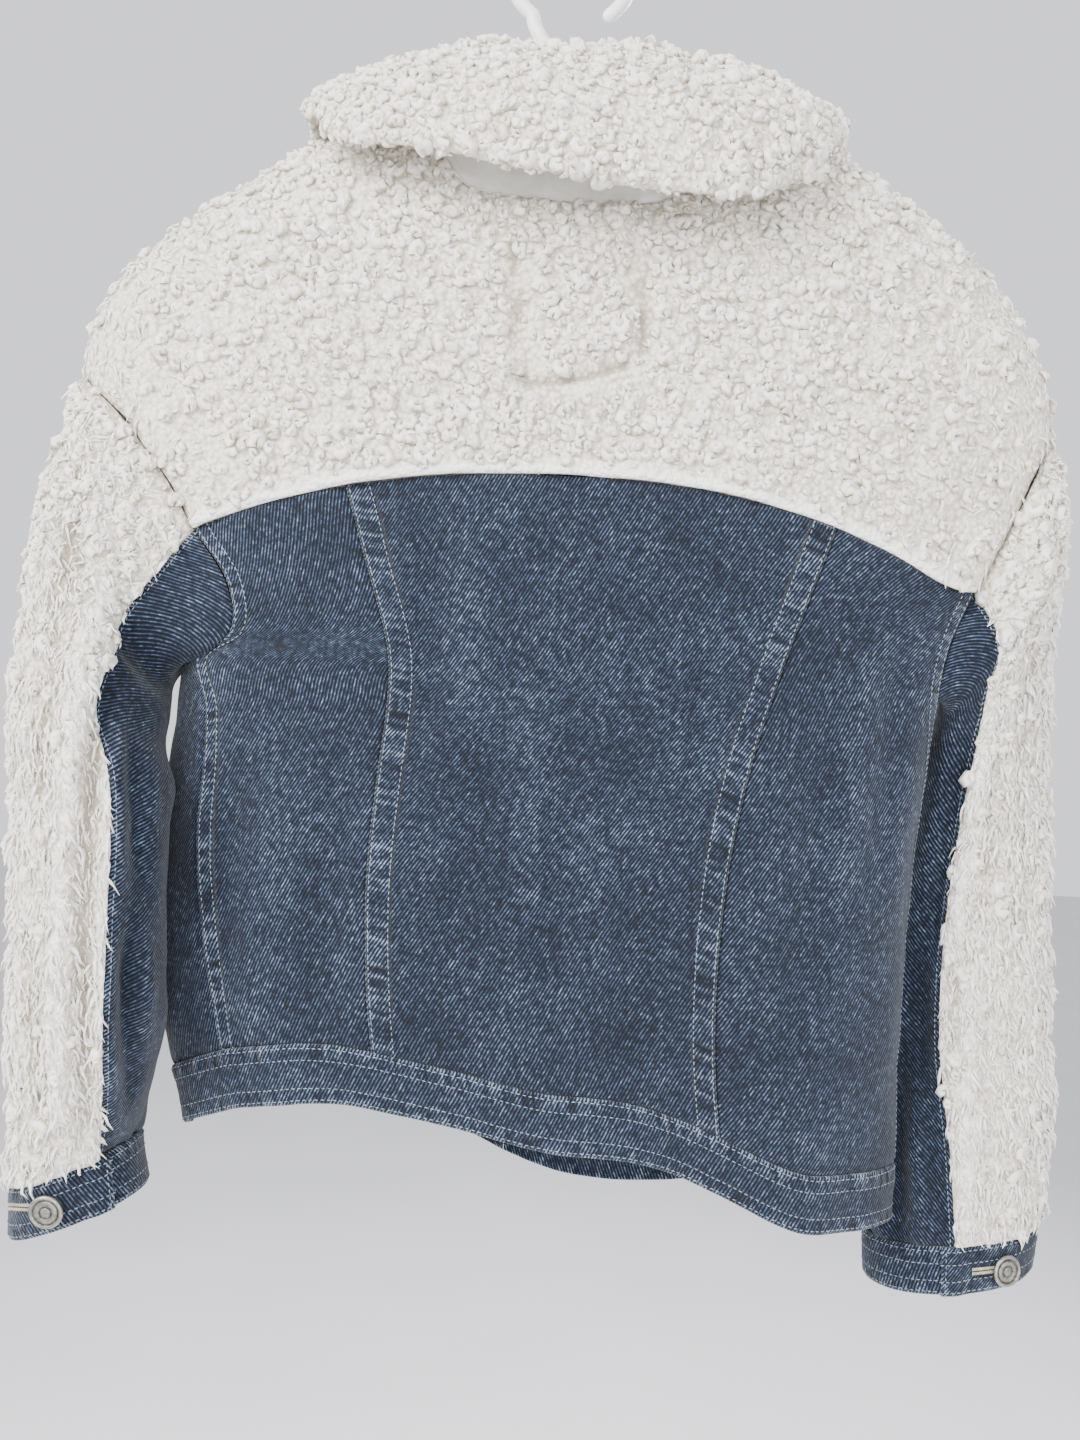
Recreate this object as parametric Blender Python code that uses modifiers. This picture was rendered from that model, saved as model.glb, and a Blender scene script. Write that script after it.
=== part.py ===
"""A girls' cropped denim jacket with sherpa yoke, collar and upper sleeves, hung on a tubular hanger.

Metres, +Z up. The front faces -Y and the back faces +Y, so the wearer's left is at +X.
The origin is the point inside the top of the hanger's hook where it is held.

The body is one lofted surface: at each height a rounded, flattened ring, from the rows of TORSO.
A point on it is an angle round the ring (0 at the wearer's left side, 90 at the centre back,
180 at the right side, 270 at the centre front) and a height. Panels are grids on that surface, and
panels that share a seam share its points. The sleeves are lofts that start from the armholes' points.
"""

import math

import bmesh
import bpy
import numpy as np

# ---- cloth ---------------------------------------------------------------------------------
DENIM_WALL = 0.0018
BAND_WALL = 0.0032  # waistband, cuffs and placket: two layers and their turnings
BAND_PROUD = 0.0008
SHERPA_WALL = 0.0018  # knitted backing, inside the seam line
SHERPA_PILE = 0.0050  # reach of the pile outside the seam line
STAND_WALL = 0.0020
FALL_HALF_WALL = 0.0048
SHERPA_PINCH = 0.5  # the pile's reach at a seam, as a share of its full reach
HALF_GAP = 0.00025  # each piece stops this far short of its seam line
ARMHOLE_GAP = 0.0006
UNDERARM_CLEARANCE = 0.0007  # where sleeve and body lie face to face under the arm

# ---- body ----------------------------------------------------------------------------------
SLID = -0.015  # how far the jacket has slid along its hanger
ROUND = 2.5  # exponent of the ring: 2 is an ellipse, more is boxier
UNDERARM = -0.415
WAISTBAND_HEIGHT = 0.030
PLACKET_WIDTH = 0.038
NECK_HALF_WIDTH = 0.090
NECK_SIDE = -0.118
NECK_BACK = -0.179
NECK_FRONT = -0.195
NECK_CURVE = 2.6
YOKE_BACK, YOKE_BACK_LEFT, YOKE_BACK_RIGHT = -0.315, -0.350, -0.360
YOKE_FRONT = -0.335
YOKE_HALF_WIDTH = 0.195
YOKE_ARCH = 2.3  # how late the arch of the back seam falls away

# height, left side, right side, depth to the back, depth to the front
TORSO = (
    (-0.700, 0.186, -0.190, 0.047, 0.045),
    (-0.660, 0.190, -0.191, 0.049, 0.046),
    (-0.600, 0.206, -0.190, 0.052, 0.049),
    (-0.530, 0.212, -0.191, 0.055, 0.051),
    (-0.460, 0.207, -0.196, 0.056, 0.052),
    (-0.415, 0.203, -0.203, 0.056, 0.052),
    (-0.380, 0.214, -0.216, 0.055, 0.051),
    (-0.340, 0.236, -0.237, 0.053, 0.049),
    (-0.300, 0.253, -0.250, 0.051, 0.047),
    (-0.265, 0.262, -0.252, 0.049, 0.045),
    (-0.225, 0.252, -0.239, 0.047, 0.044),
    (-0.200, 0.231, -0.222, 0.045, 0.042),
    (-0.175, 0.200, -0.195, 0.042, 0.040),
    (-0.155, 0.170, -0.170, 0.039, 0.037),
    (-0.137, 0.138, -0.136, 0.035, 0.034),
    (-0.118, 0.090, -0.090, 0.031, 0.030),
)

# angle round the body, height of the hem there
HEM = (
    (0, -0.664),
    (25, -0.656),
    (45, -0.643),
    (60, -0.637),
    (75, -0.645),
    (90, -0.655),
    (104, -0.658),
    (116, -0.673),
    (128, -0.689),
    (150, -0.693),
    (180, -0.694),
    (230, -0.693),
    (270, -0.692),
    (278, -0.682),
    (285, -0.671),
    (300, -0.660),
    (320, -0.655),
    (340, -0.655),
    (360, -0.664),
)

# height, angles of the left side, left princess, right princess and right side seams
SEAMS = (
    (-0.700, 40.0, 66.0, 118.0, 180.0),
    (-0.600, 40.0, 67.0, 117.0, 180.0),
    (-0.500, 36.0, 66.5, 117.5, 177.0),
    (-0.440, 32.0, 66.0, 119.0, 168.0),
    (-0.415, 26.0, 65.5, 120.0, 160.0),
    (-0.350, 26.0, 63.5, 121.5, 160.0),
    (-0.310, 26.0, 63.0, 122.0, 160.0),
)

# share of the way up, then the armhole's angle from the side: back left, back right, front
ARMHOLE_LOW = (
    (0.00, 26.0, 20.0, 20.0),
    (0.22, 39.0, 23.0, 25.0),
    (0.60, 41.0, 26.0, 28.0),
    (1.00, 38.5, 27.5, 28.0),
)
ARMHOLE_HIGH = (
    (0.000, 38.5, 27.5, 28.0),
    (0.090, 37.0, 27.0, 27.0),
    (0.170, 34.0, 25.0, 25.0),
    (0.250, 29.0, 21.0, 21.0),
    (0.310, 21.0, 15.0, 15.0),
    (0.345, 11.0, 8.0, 8.0),
    (0.366, 0.0, 0.0, 0.0),
    (0.460, 0.0, 0.0, 0.0),
    (0.560, 0.0, 0.0, 0.0),
    (0.670, 0.0, 0.0, 0.0),
    (0.780, 0.0, 0.0, 0.0),
    (0.890, 0.0, 0.0, 0.0),
    (1.000, 0.0, 0.0, 0.0),
)
SHOULDER_ROW = 6  # row of ARMHOLE_HIGH at the shoulder's tip

# angle, width in degrees, how far out, height where it is deepest, reach up from there
FOLDS = (
    (112, 9, -0.007, -0.690, 0.16),
    (134, 13, 0.007, -0.690, 0.20),
    (78, 14, -0.006, -0.690, 0.14),
    (52, 10, 0.004, -0.690, 0.16),
    (100, 10, 0.003, -0.690, 0.12),
    (240, 12, 0.005, -0.700, 0.18),
    (300, 14, -0.005, -0.700, 0.16),
    (325, 10, 0.004, -0.700, 0.15),
    (212, 10, -0.004, -0.700, 0.15),
)

# ---- sleeves -------------------------------------------------------------------------------
# outer x, outer z, inner x, inner z, middle y, half depth, share of the width that is denim
# at the back, and at the front. The last row is the cuff's lower edge.
SLEEVE_LEFT = (
    (0.271, -0.305, 0.2065, -0.429, 0.008, 0.036, 0.28, 0.34),
    (0.275, -0.350, 0.205, -0.441, 0.022, 0.037, 0.28, 0.34),
    (0.275, -0.405, 0.203, -0.458, 0.035, 0.037, 0.33, 0.32),
    (0.271, -0.465, 0.195, -0.486, 0.046, 0.037, 0.27, 0.30),
    (0.267, -0.530, 0.195, -0.535, 0.050, 0.036, 0.25, 0.30),
    (0.265, -0.590, 0.192, -0.592, 0.048, 0.036, 0.28, 0.30),
    (0.265, -0.640, 0.199, -0.634, 0.042, 0.035, 0.22, 0.30),
    (0.267, -0.686, 0.205, -0.660, 0.036, 0.034, 0.18, 0.30),
    (0.267, -0.713, 0.201, -0.687, 0.034, 0.033, 0.18, 0.30),
)
SLEEVE_RIGHT = (
    (-0.262, -0.305, -0.2065, -0.425, -0.004, 0.036, 0.33, 0.30),
    (-0.265, -0.350, -0.205, -0.436, -0.016, 0.038, 0.31, 0.30),
    (-0.270, -0.410, -0.200, -0.452, -0.030, 0.039, 0.33, 0.30),
    (-0.275, -0.470, -0.196, -0.482, -0.040, 0.039, 0.31, 0.30),
    (-0.281, -0.535, -0.192, -0.540, -0.045, 0.038, 0.28, 0.30),
    (-0.288, -0.600, -0.190, -0.605, -0.045, 0.037, 0.28, 0.30),
    (-0.290, -0.655, -0.188, -0.664, -0.042, 0.036, 0.36, 0.30),
    (-0.284, -0.704, -0.188, -0.716, -0.036, 0.035, 0.42, 0.34),
    (-0.281, -0.729, -0.190, -0.742, -0.034, 0.034, 0.42, 0.34),
)
UPPER_SEGMENTS = 12
BOTTOM_SEGMENTS = 3  # of an armhole, under the arm

# ---- collar --------------------------------------------------------------------------------
# turn from the centre back in degrees, then x, y, z of the fold and x, y, z of the fall's edge
COLLAR = (
    (0, 0.000, 0.041, -0.095, 0.000, 0.080, -0.180),
    (30, 0.045, 0.039, -0.096, 0.060, 0.078, -0.178),
    (55, 0.077, 0.027, -0.098, 0.110, 0.062, -0.166),
    (80, 0.092, 0.004, -0.103, 0.141, 0.014, -0.1245),
    (105, 0.091, -0.022, -0.108, 0.141, -0.034, -0.136),
    (130, 0.074, -0.044, -0.130, 0.116, -0.064, -0.186),
    (155, 0.042, -0.050, -0.156, 0.080, -0.072, -0.226),
    (170, 0.022, -0.052, -0.174, 0.052, -0.073, -0.244),
)
COLLAR_TWIST = 0.008  # how far the fall's edge sits towards the left
FALL_ROWS = 6
FALL_CROWN = 0.012  # how far the fall rounds out between its fold and its edge
STAND_INSET = 0.0056  # the stand's top is this far inside the fold
STAND_LIFT = 0.0003

# ---- hardware ------------------------------------------------------------------------------
BUTTON_SEAT = 0.0004
BUTTON_STEPS = 16
# radius, height above the cloth, down the outer side
BUTTON_PROFILE = (
    (0.0000, 0.0050),
    (0.0060, 0.0048),
    (0.0080, 0.0042),
    (0.0085, 0.0032),
    (0.0080, 0.0024),
    (0.0032, 0.0020),
    (0.0032, 0.0000),
    (0.0000, 0.0000),
)
FRONT_BUTTONS = (-0.672, -0.575, -0.478, -0.381, -0.284)

# ---- hanger --------------------------------------------------------------------------------
HANGER_RADIUS = 0.0038
HOOK_RADIUS = 0.034
HOOK_NECK_FOOT = -0.0945
# x and z down one arm, round its end and back along the bar, for the half at +X
HANGER_ARM = (
    (0.000, -0.094),
    (0.028, -0.102),
    (0.060, -0.122),
    (0.100, -0.146),
    (0.140, -0.170),
    (0.158, -0.182),
    (0.164, -0.193),
    (0.158, -0.203),
    (0.140, -0.207),
    (0.090, -0.208),
    (0.040, -0.208),
    (0.000, -0.208),
)

COLOURS = {
    # name: colour (linear), roughness, metallic
    "sherpa": ((0.80, 0.77, 0.72), 0.95, 0.0),
    "denim": ((0.09, 0.15, 0.25), 0.85, 0.0),
    "cotton": ((0.80, 0.79, 0.76), 0.85, 0.0),
    "pewter": ((0.30, 0.29, 0.27), 0.40, 0.9),
    "white_plastic": ((0.82, 0.82, 0.80), 0.35, 0.0),
}


# ---- tools ---------------------------------------------------------------------------------
def clear_scene():
    for obj in list(bpy.data.objects):
        bpy.data.objects.remove(obj)


def material(name):
    made = bpy.data.materials.new(name)
    made.use_nodes = True
    shader = made.node_tree.nodes["Principled BSDF"]
    colour, roughness, metallic = COLOURS[name]
    shader.inputs["Base Color"].default_value = (*colour, 1.0)
    shader.inputs["Roughness"].default_value = roughness
    shader.inputs["Metallic"].default_value = metallic
    return made


def smooth(at, knots, values):
    """A smooth line through a table's points, level past its ends. Values may be rows of points."""
    knots, values = np.asarray(knots, float), np.asarray(values, float)
    at = np.clip(np.asarray(at, float), knots[0], knots[-1])
    slopes = np.gradient(values, knots, axis=0)
    low = np.clip(np.searchsorted(knots, at, side="right") - 1, 0, len(knots) - 2)
    span = knots[low + 1] - knots[low]
    t = (at - knots[low]) / span
    extra = (1,) * (values.ndim - 1)
    t, span = t.reshape(t.shape + extra), span.reshape(span.shape + extra)
    return (
        (2 * t**3 - 3 * t**2 + 1) * values[low]
        + (t**3 - 2 * t**2 + t) * span * slopes[low]
        + (3 * t**2 - 2 * t**3) * values[low + 1]
        + (t**3 - t**2) * span * slopes[low + 1]
    )


def column(table, number):
    return np.array([row[number] for row in table], float)


def unit(vectors):
    length = np.linalg.norm(vectors, axis=-1, keepdims=True)
    return vectors / np.maximum(length, 1e-12)


# ---- the body's surface --------------------------------------------------------------------
def ring_size(height):
    """Middle x, half width, depth to the back and depth to the front of the body at a height."""
    knots = column(TORSO, 0)
    left, right, back, front = (smooth(height, knots, column(TORSO, n)) for n in (1, 2, 3, 4))
    return (left + right) / 2, (left - right) / 2, back, front


def fold_depth(angle, height):
    """How far the large folds push the surface out, which is more towards the hem."""
    total = np.zeros(np.broadcast(angle, height).shape)
    for at, width, out, deepest, reach in FOLDS:
        across = np.exp(-(((angle % 360) - at) ** 2) / (2 * (width / 2) ** 2))
        along = np.clip(1 - (height - deepest) / reach, 0, 1)
        total = total + out * across * along**2 * (3 - 2 * along)
    return total


def body_point(angle, height):
    angle, height = np.broadcast_arrays(np.asarray(angle, float), np.asarray(height, float))
    middle, half, back, front = ring_size(height)
    c, s = np.cos(np.radians(angle)), np.sin(np.radians(angle))
    reach = (np.abs(c) ** ROUND + np.abs(s) ** ROUND) ** (1 / ROUND)
    depth = np.where(s > 0, back, front) + fold_depth(angle, height)
    return np.stack([SLID + middle + half * c / reach, depth * s / reach, height], axis=-1)


def body_normal(angle, height):
    turn, rise = 0.05, 0.0005
    across = body_point(angle + turn, height) - body_point(angle - turn, height)
    up = body_point(angle, height + rise) - body_point(angle, height - rise)
    return unit(np.cross(across, up))


def angle_at(x, height, front):
    """The angle where the body's front or back has this x, counted from the jacket's own middle."""
    middle, half, _, _ = ring_size(height)
    share = np.clip((x - middle) / half, -0.9999, 0.9999)
    power = np.maximum(np.abs(share) ** ROUND, 1e-12)
    from_side = np.degrees(np.arctan(((1 - power) / power) ** (1 / ROUND)))
    back_angle = np.where(share > 0, from_side, 180 - from_side)
    return 360 - back_angle if front else back_angle


def neck_height(angle, front):
    """Height of the neckline on the column at this angle, found where the two curves meet."""
    lowest = NECK_FRONT if front else NECK_BACK
    height = np.full(np.shape(angle), (lowest + NECK_SIDE) / 2)
    for _ in range(120):
        x = body_point(angle, height)[..., 0] - SLID
        aim = lowest + (NECK_SIDE - lowest) * np.minimum(np.abs(x) / NECK_HALF_WIDTH, 1) ** NECK_CURVE
        height = height + 0.15 * (aim - height)
    return height


def yoke_height(x, front):
    """Height of the yoke seam. The back's is an arch."""
    end = np.where(x > 0, YOKE_BACK_LEFT, YOKE_BACK_RIGHT)
    middle = YOKE_FRONT if front else YOKE_BACK
    share = np.minimum(np.abs(x) / YOKE_HALF_WIDTH, 1)
    return middle + (end - middle) * share**YOKE_ARCH


# ---- stations round the body ---------------------------------------------------------------
BACK_SPANS = (5, 8, 5)  # columns in the left side back, centre back and right side back
FRONT_SPAN = 8
PLACKET_SPAN = 2
WAIST_ROWS = 2
LOWER_ROWS = 9
SEAM_HEIGHT_GUESS = -0.335


def spread(edges, spans):
    """Angles between each two edges, in equal steps. Edges is one row of heights for each edge."""
    parts = []
    for (first, last), count in zip(zip(edges[:-1], edges[1:]), spans):
        steps = np.arange(count) / count
        parts.append(first[:, None] + (last - first)[:, None] * steps)
    parts.append(edges[-1][:, None])
    return np.concatenate(parts, axis=1)


def seam_angles(height):
    knots = column(SEAMS, 0)
    return [smooth(height, knots, column(SEAMS, n)) for n in (1, 2, 3, 4)]


def placket_angles(height):
    half = PLACKET_WIDTH / 2
    return angle_at(-half, height, True), angle_at(half, height, True)


def lower_angles(height, low, high):
    """All the stations' angles below the underarm, for the rows at one height each."""
    left, princess_left, princess_right, right = seam_angles(height)
    placket_right, placket_left = placket_angles(height)
    arm_right = np.full_like(height, 180 + ARMHOLE_LOW[0][3])
    arm_left = np.full_like(height, 360 - ARMHOLE_LOW[0][3])
    edges = [left, princess_left, princess_right, right, arm_right, placket_right, placket_left]
    edges += [arm_left, left + 360]
    spans = (*BACK_SPANS, BOTTOM_SEGMENTS, FRONT_SPAN, PLACKET_SPAN, FRONT_SPAN, BOTTOM_SEGMENTS)
    return spread(edges, spans)[:, low:high]


BACK_COUNT = sum(BACK_SPANS)
RIGHT_FRONT = BACK_COUNT + BOTTOM_SEGMENTS
PLACKET_FROM = RIGHT_FRONT + FRONT_SPAN
LEFT_FRONT = PLACKET_FROM + PLACKET_SPAN
LEFT_ARM = LEFT_FRONT + FRONT_SPAN
ROUND_COUNT = LEFT_ARM + BOTTOM_SEGMENTS


def hem_height(angle):
    return smooth(np.asarray(angle) % 360, column(HEM, 0), column(HEM, 1))


class Grid:
    """Points, outward normals and where they lie on the body, for rows going up and columns going round."""

    def __init__(self, angle, height):
        self.angle, self.height = np.broadcast_arrays(angle, height)
        self.points = body_point(self.angle, self.height)
        self.normals = body_normal(self.angle, self.height)


def lower_grid(band):
    """The whole ring from the hem to the waistband's top, or from there to the underarm."""
    nominal = lower_angles(np.array([-0.660]), 0, ROUND_COUNT + 1)[0]
    hem = hem_height(nominal)
    if band:
        steps = np.linspace(0, 1, WAIST_ROWS + 1)
        heights = hem + WAISTBAND_HEIGHT * steps[:, None]
    else:
        steps = np.linspace(0, 1, LOWER_ROWS + 1)
        top = hem + WAISTBAND_HEIGHT
        heights = top + (UNDERARM - top) * steps[:, None]
    angles = np.empty_like(heights)
    for n in range(ROUND_COUNT + 1):
        angles[:, n] = lower_angles(heights[:, n], n, n + 1)[:, 0]
    return Grid(angles, heights)


def between(edge_tables, rows, spans, front):
    """Columns between edges given as functions of height, for rows given as share and edge angles."""
    return spread([np.asarray(e, float) for e in edge_tables], spans)


def armhole_grid(front):
    """From the underarm up to the yoke seam: columns of the back, or of the front from right to left."""
    share = column(ARMHOLE_LOW, 0)
    arm = [column(ARMHOLE_LOW, n) for n in (1, 2, 3)]
    guess = UNDERARM + share * (SEAM_HEIGHT_GUESS - UNDERARM)
    for _ in range(3):
        heights = guess if np.ndim(guess) == 2 else np.repeat(guess[:, None], 1, axis=1)
        angles = armhole_angles(heights, arm, front)
        top_x = body_point(angles[-1], heights[-1] if heights.shape[1] > 1 else guess[-1])[..., 0] - SLID
        top = yoke_height(top_x, front)
        guess = UNDERARM + share[:, None] * (top - UNDERARM)
    return Grid(armhole_angles(guess, arm, front), guess)


def armhole_angles(heights, arm, front):
    """Angles for rows of heights, which may differ from column to column."""
    wide = heights.shape[1] > 1
    count = FRONT_SPAN * 2 + PLACKET_SPAN if front else BACK_COUNT
    result = np.empty((len(heights), count + 1))
    for n in range(count + 1):
        at = heights[:, n] if wide else heights[:, 0]
        if front:
            right, left = placket_angles(at)
            edges = [180 + arm[2], right, left, 360 - arm[2]]
            spans = (FRONT_SPAN, PLACKET_SPAN, FRONT_SPAN)
        else:
            _, princess_left, princess_right, _ = seam_angles(at)
            edges = [arm[0], princess_left, princess_right, 180 - arm[1]]
            spans = BACK_SPANS
        result[:, n] = spread(edges, spans)[:, n]
    return result


def yoke_grid(below, front):
    """From the yoke seam up to the neckline and shoulder, on columns that go on from the grid below."""
    share = column(ARMHOLE_HIGH, 0)
    seam_angle, seam_height = below.angle[-1], below.height[-1]
    if front:
        first, last = 180 + column(ARMHOLE_HIGH, 3), 360 - column(ARMHOLE_HIGH, 3)
    else:
        first, last = column(ARMHOLE_HIGH, 1), 180 - column(ARMHOLE_HIGH, 2)
    across = (seam_angle - seam_angle[0]) / (seam_angle[-1] - seam_angle[0])
    angles = first[:, None] + (last - first)[:, None] * across
    top = neck_height(angles[-1], front)
    heights = seam_height + share[:, None] * (top - seam_height)
    if front:
        for n, side in ((FRONT_SPAN, 0), (FRONT_SPAN + PLACKET_SPAN, 1)):
            angles[:, n] = placket_angles(heights[:, n])[side]
        for low, high in ((0, FRONT_SPAN), (FRONT_SPAN, FRONT_SPAN + PLACKET_SPAN), (FRONT_SPAN + PLACKET_SPAN, 2 * FRONT_SPAN + PLACKET_SPAN)):
            inner = (across[low : high + 1] - across[low]) / (across[high] - across[low])
            angles[:, low : high + 1] = angles[:, [low]] + (angles[:, [high]] - angles[:, [low]]) * inner
        heights = seam_height + share[:, None] * (neck_height(angles[-1], front) - seam_height)
    return Grid(angles, heights)


# ---- walls ---------------------------------------------------------------------------------
def edge_pull(points, cells):
    """How each point moves so that the piece's outline stops HALF_GAP short of its seam lines."""
    sides = {}
    for r, c in cells:
        corners = [(r, c), (r, c + 1), (r + 1, c + 1), (r + 1, c)]
        centre = np.mean([points[k] for k in corners], axis=0)
        for a, b in zip(corners, corners[1:] + corners[:1]):
            key = frozenset((a, b))
            sides[key] = None if key in sides else (a, b, centre)
    inward = {}
    outline = []
    for side in filter(None, sides.values()):
        a, b, centre = side
        along = unit(points[b] - points[a])
        to_centre = centre - points[a]
        normal = unit(to_centre - along * float(along @ to_centre))
        outline.append((a, b))
        for corner in (a, b):
            inward.setdefault(corner, []).append(normal)
    moves = {}
    for corner, normals in inward.items():
        total = np.sum(normals, axis=0)
        spread_of = 1 + float(normals[0] @ normals[-1])
        moves[corner] = HALF_GAP * total / max(spread_of, 0.3)
    return moves, outline


def wall(name, points, normals, cells, outside, inside, look, pinch=1.0):
    """A closed wall over the cells of a grid, from outside to inside of its surface."""
    moves, outline = edge_pull(points, cells)
    used = sorted({(r + i, c + j) for r, c in cells for i in (0, 1) for j in (0, 1)})
    mesh = bmesh.new()
    outer, inner = {}, {}
    for key in used:
        place = points[key] + moves.get(key, 0.0)
        reach = outside * (pinch if key in moves else 1.0)
        outer[key] = mesh.verts.new(place + normals[key] * reach)
        inner[key] = mesh.verts.new(place - normals[key] * inside)
    for r, c in cells:
        corners = [(r, c), (r, c + 1), (r + 1, c + 1), (r + 1, c)]
        mesh.faces.new([outer[k] for k in corners])
        mesh.faces.new([inner[k] for k in reversed(corners)])
    for a, b in outline:
        mesh.faces.new([outer[b], outer[a], inner[a], inner[b]])
    bmesh.ops.recalc_face_normals(mesh, faces=mesh.faces)
    data = bpy.data.meshes.new(name)
    mesh.to_mesh(data)
    mesh.free()
    return place_object(name, data, look)


def place_object(name, data, look):
    obj = bpy.data.objects.new(name, data)
    JACKET.objects.link(obj)
    if not data.materials:
        data.materials.append(LOOKS[look])
    if obj.type == "MESH":
        data.shade_smooth()
    return obj


def block(rows, columns):
    return [(r, c) for r in range(*rows) for c in range(*columns)]


def joined(*grids):
    """Grids that lie above one another, as one: the shared row is kept once."""
    points = [grids[0].points] + [g.points[1:] for g in grids[1:]]
    normals = [grids[0].normals] + [g.normals[1:] for g in grids[1:]]
    return np.concatenate(points), np.concatenate(normals)


# ---- body pieces ---------------------------------------------------------------------------
def build_back(lower, arm, yoke):
    points, normals = joined_back(lower, arm)
    rows = (0, len(points) - 1)
    starts = np.cumsum((0, *BACK_SPANS))
    names = ("side_back_left", "centre_back", "side_back_right")
    for name, low, high in zip(names, starts[:-1], starts[1:]):
        wall(name, points, normals, block(rows, (low, high)), 0, DENIM_WALL, "denim")
    cells = block((0, len(yoke.points) - 1), (0, BACK_COUNT))
    wall("back_yoke", yoke.points, yoke.normals, cells, SHERPA_PILE, SHERPA_WALL, "sherpa", SHERPA_PINCH)


def joined_back(lower, arm):
    points = np.concatenate([lower.points[:, : BACK_COUNT + 1], arm.points[1:]])
    normals = np.concatenate([lower.normals[:, : BACK_COUNT + 1], arm.normals[1:]])
    return points, normals


def build_fronts(lower, arm, yoke):
    """The front's columns run from the right side seam to the left one, with the armholes' bottoms."""
    first = BACK_COUNT
    width = ROUND_COUNT - BACK_COUNT + 1
    low_rows, arm_rows, yoke_rows = len(lower.points), len(arm.points) - 1, len(yoke.points) - 1
    points = np.zeros((low_rows + arm_rows + yoke_rows, width, 3))
    normals = np.zeros_like(points)
    points[:low_rows], normals[:low_rows] = lower.points[:, first:], lower.normals[:, first:]
    inner = slice(BOTTOM_SEGMENTS, width - BOTTOM_SEGMENTS)
    middle, top = slice(low_rows, low_rows + arm_rows), slice(low_rows + arm_rows, None)
    points[middle, inner], normals[middle, inner] = arm.points[1:], arm.normals[1:]
    points[top, inner], normals[top, inner] = yoke.points[1:], yoke.normals[1:]
    right_edge, left_edge = PLACKET_FROM - first, LEFT_FRONT - first
    arm_top = low_rows + arm_rows - 1
    full = len(points) - 1
    sides = {
        "right": ((0, right_edge), (BOTTOM_SEGMENTS, right_edge)),
        "left": ((left_edge, width - 1), (left_edge, width - 1 - BOTTOM_SEGMENTS)),
    }
    for side, (wide, narrow) in sides.items():
        cells = block((0, low_rows - 1), wide) + block((low_rows - 1, arm_top), narrow)
        wall("front_" + side, points, normals, cells, 0, DENIM_WALL, "denim")
        cells = block((arm_top, full), narrow)
        wall("front_yoke_" + side, points, normals, cells, SHERPA_PILE, SHERPA_WALL, "sherpa", SHERPA_PINCH)
    cells = block((0, full), (right_edge, left_edge))
    wall("placket", points, normals, cells, BAND_PROUD, BAND_WALL - BAND_PROUD, "denim")


def build_waistband(band):
    """One strip from the placket's left edge, round the back, to the same edge again."""
    start = LEFT_FRONT
    points = np.concatenate([band.points[:, start:-1], band.points[:, : start + 1]], axis=1)
    normals = np.concatenate([band.normals[:, start:-1], band.normals[:, : start + 1]], axis=1)
    cells = block((0, WAIST_ROWS), (0, ROUND_COUNT))
    wall("waistband", points, normals, cells, BAND_PROUD, BAND_WALL - BAND_PROUD, "denim")


# ---- sleeves -------------------------------------------------------------------------------
def armhole_loop(side, lower, back_arm, back_yoke, front_arm, front_yoke):
    """Where an armhole's points are kept: grid, row, column, from the shoulder's tip round by the back."""
    left = side == "left"
    back_edge, front_edge = (0, -1) if left else (-1, 0)
    arm_top = len(back_arm.points) - 1
    loop = [(back_yoke, row, back_edge) for row in range(SHOULDER_ROW, 0, -1)]
    loop += [(back_arm, row, back_edge) for row in range(arm_top, 0, -1)]
    under = range(ROUND_COUNT, LEFT_ARM - 1, -1) if left else range(BACK_COUNT, RIGHT_FRONT + 1)
    loop += [(lower, -1, number) for number in under]
    loop += [(front_arm, row, front_edge) for row in range(1, arm_top + 1)]
    loop += [(front_yoke, row, front_edge) for row in range(1, SHOULDER_ROW)]
    return loop


def soften_armhole(side, back_yoke, front_yoke):
    """Leans the normals beside an armhole towards the seam's own, so that the piles meet there."""
    for grid, edge, step in ((back_yoke, 0, 1), (front_yoke, -1, -1)):
        if side == "right":
            edge, step = (-1, -1) if edge == 0 else (0, 1)
        for row in range(SHOULDER_ROW + 1):
            near = grid.normals[row, edge + step]
            grid.normals[row, edge + step] = unit(near + grid.normals[row, edge])
        above = grid.normals[SHOULDER_ROW + 1, edge]
        grid.normals[SHOULDER_ROW + 1, edge] = unit(above + grid.normals[SHOULDER_ROW, edge])


def same_places(loop, side, grids):
    """Every other grid place that holds one of the loop's points, by the loop's number."""
    found = []
    for number, (grid, row, edge) in enumerate(loop):
        here = grid.points[row, edge]
        for other in grids:
            near = np.linalg.norm(other.points - here, axis=-1) < 1e-7
            found += [(number, other, r, c) for r, c in zip(*np.nonzero(near))]
    return found


def sleeve_ring(row, count):
    """One ring of a sleeve, in the order of the armhole's loop."""
    out_x, out_z, in_x, in_z, middle_y, depth, denim_back, denim_front = row
    under = count - UPPER_SEGMENTS
    seam_back = math.degrees(math.acos(2 * denim_back - 1))
    seam_front = math.degrees(math.acos(2 * denim_front - 1))
    half = UPPER_SEGMENTS // 2
    angles = np.concatenate(
        [
            np.linspace(0, seam_back, half + 1)[:-1],
            np.linspace(seam_back, 360 - seam_front, under + 1)[:-1],
            np.linspace(360 - seam_front, 360, half + 1)[:-1],
        ]
    )
    c, s = np.cos(np.radians(angles)), np.sin(np.radians(angles))
    x = (out_x + in_x) / 2 + c * (out_x - in_x) / 2
    z = (out_z + in_z) / 2 + c * (out_z - in_z) / 2
    return np.stack([SLID + x, middle_y + depth * s, z], axis=-1)


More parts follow.
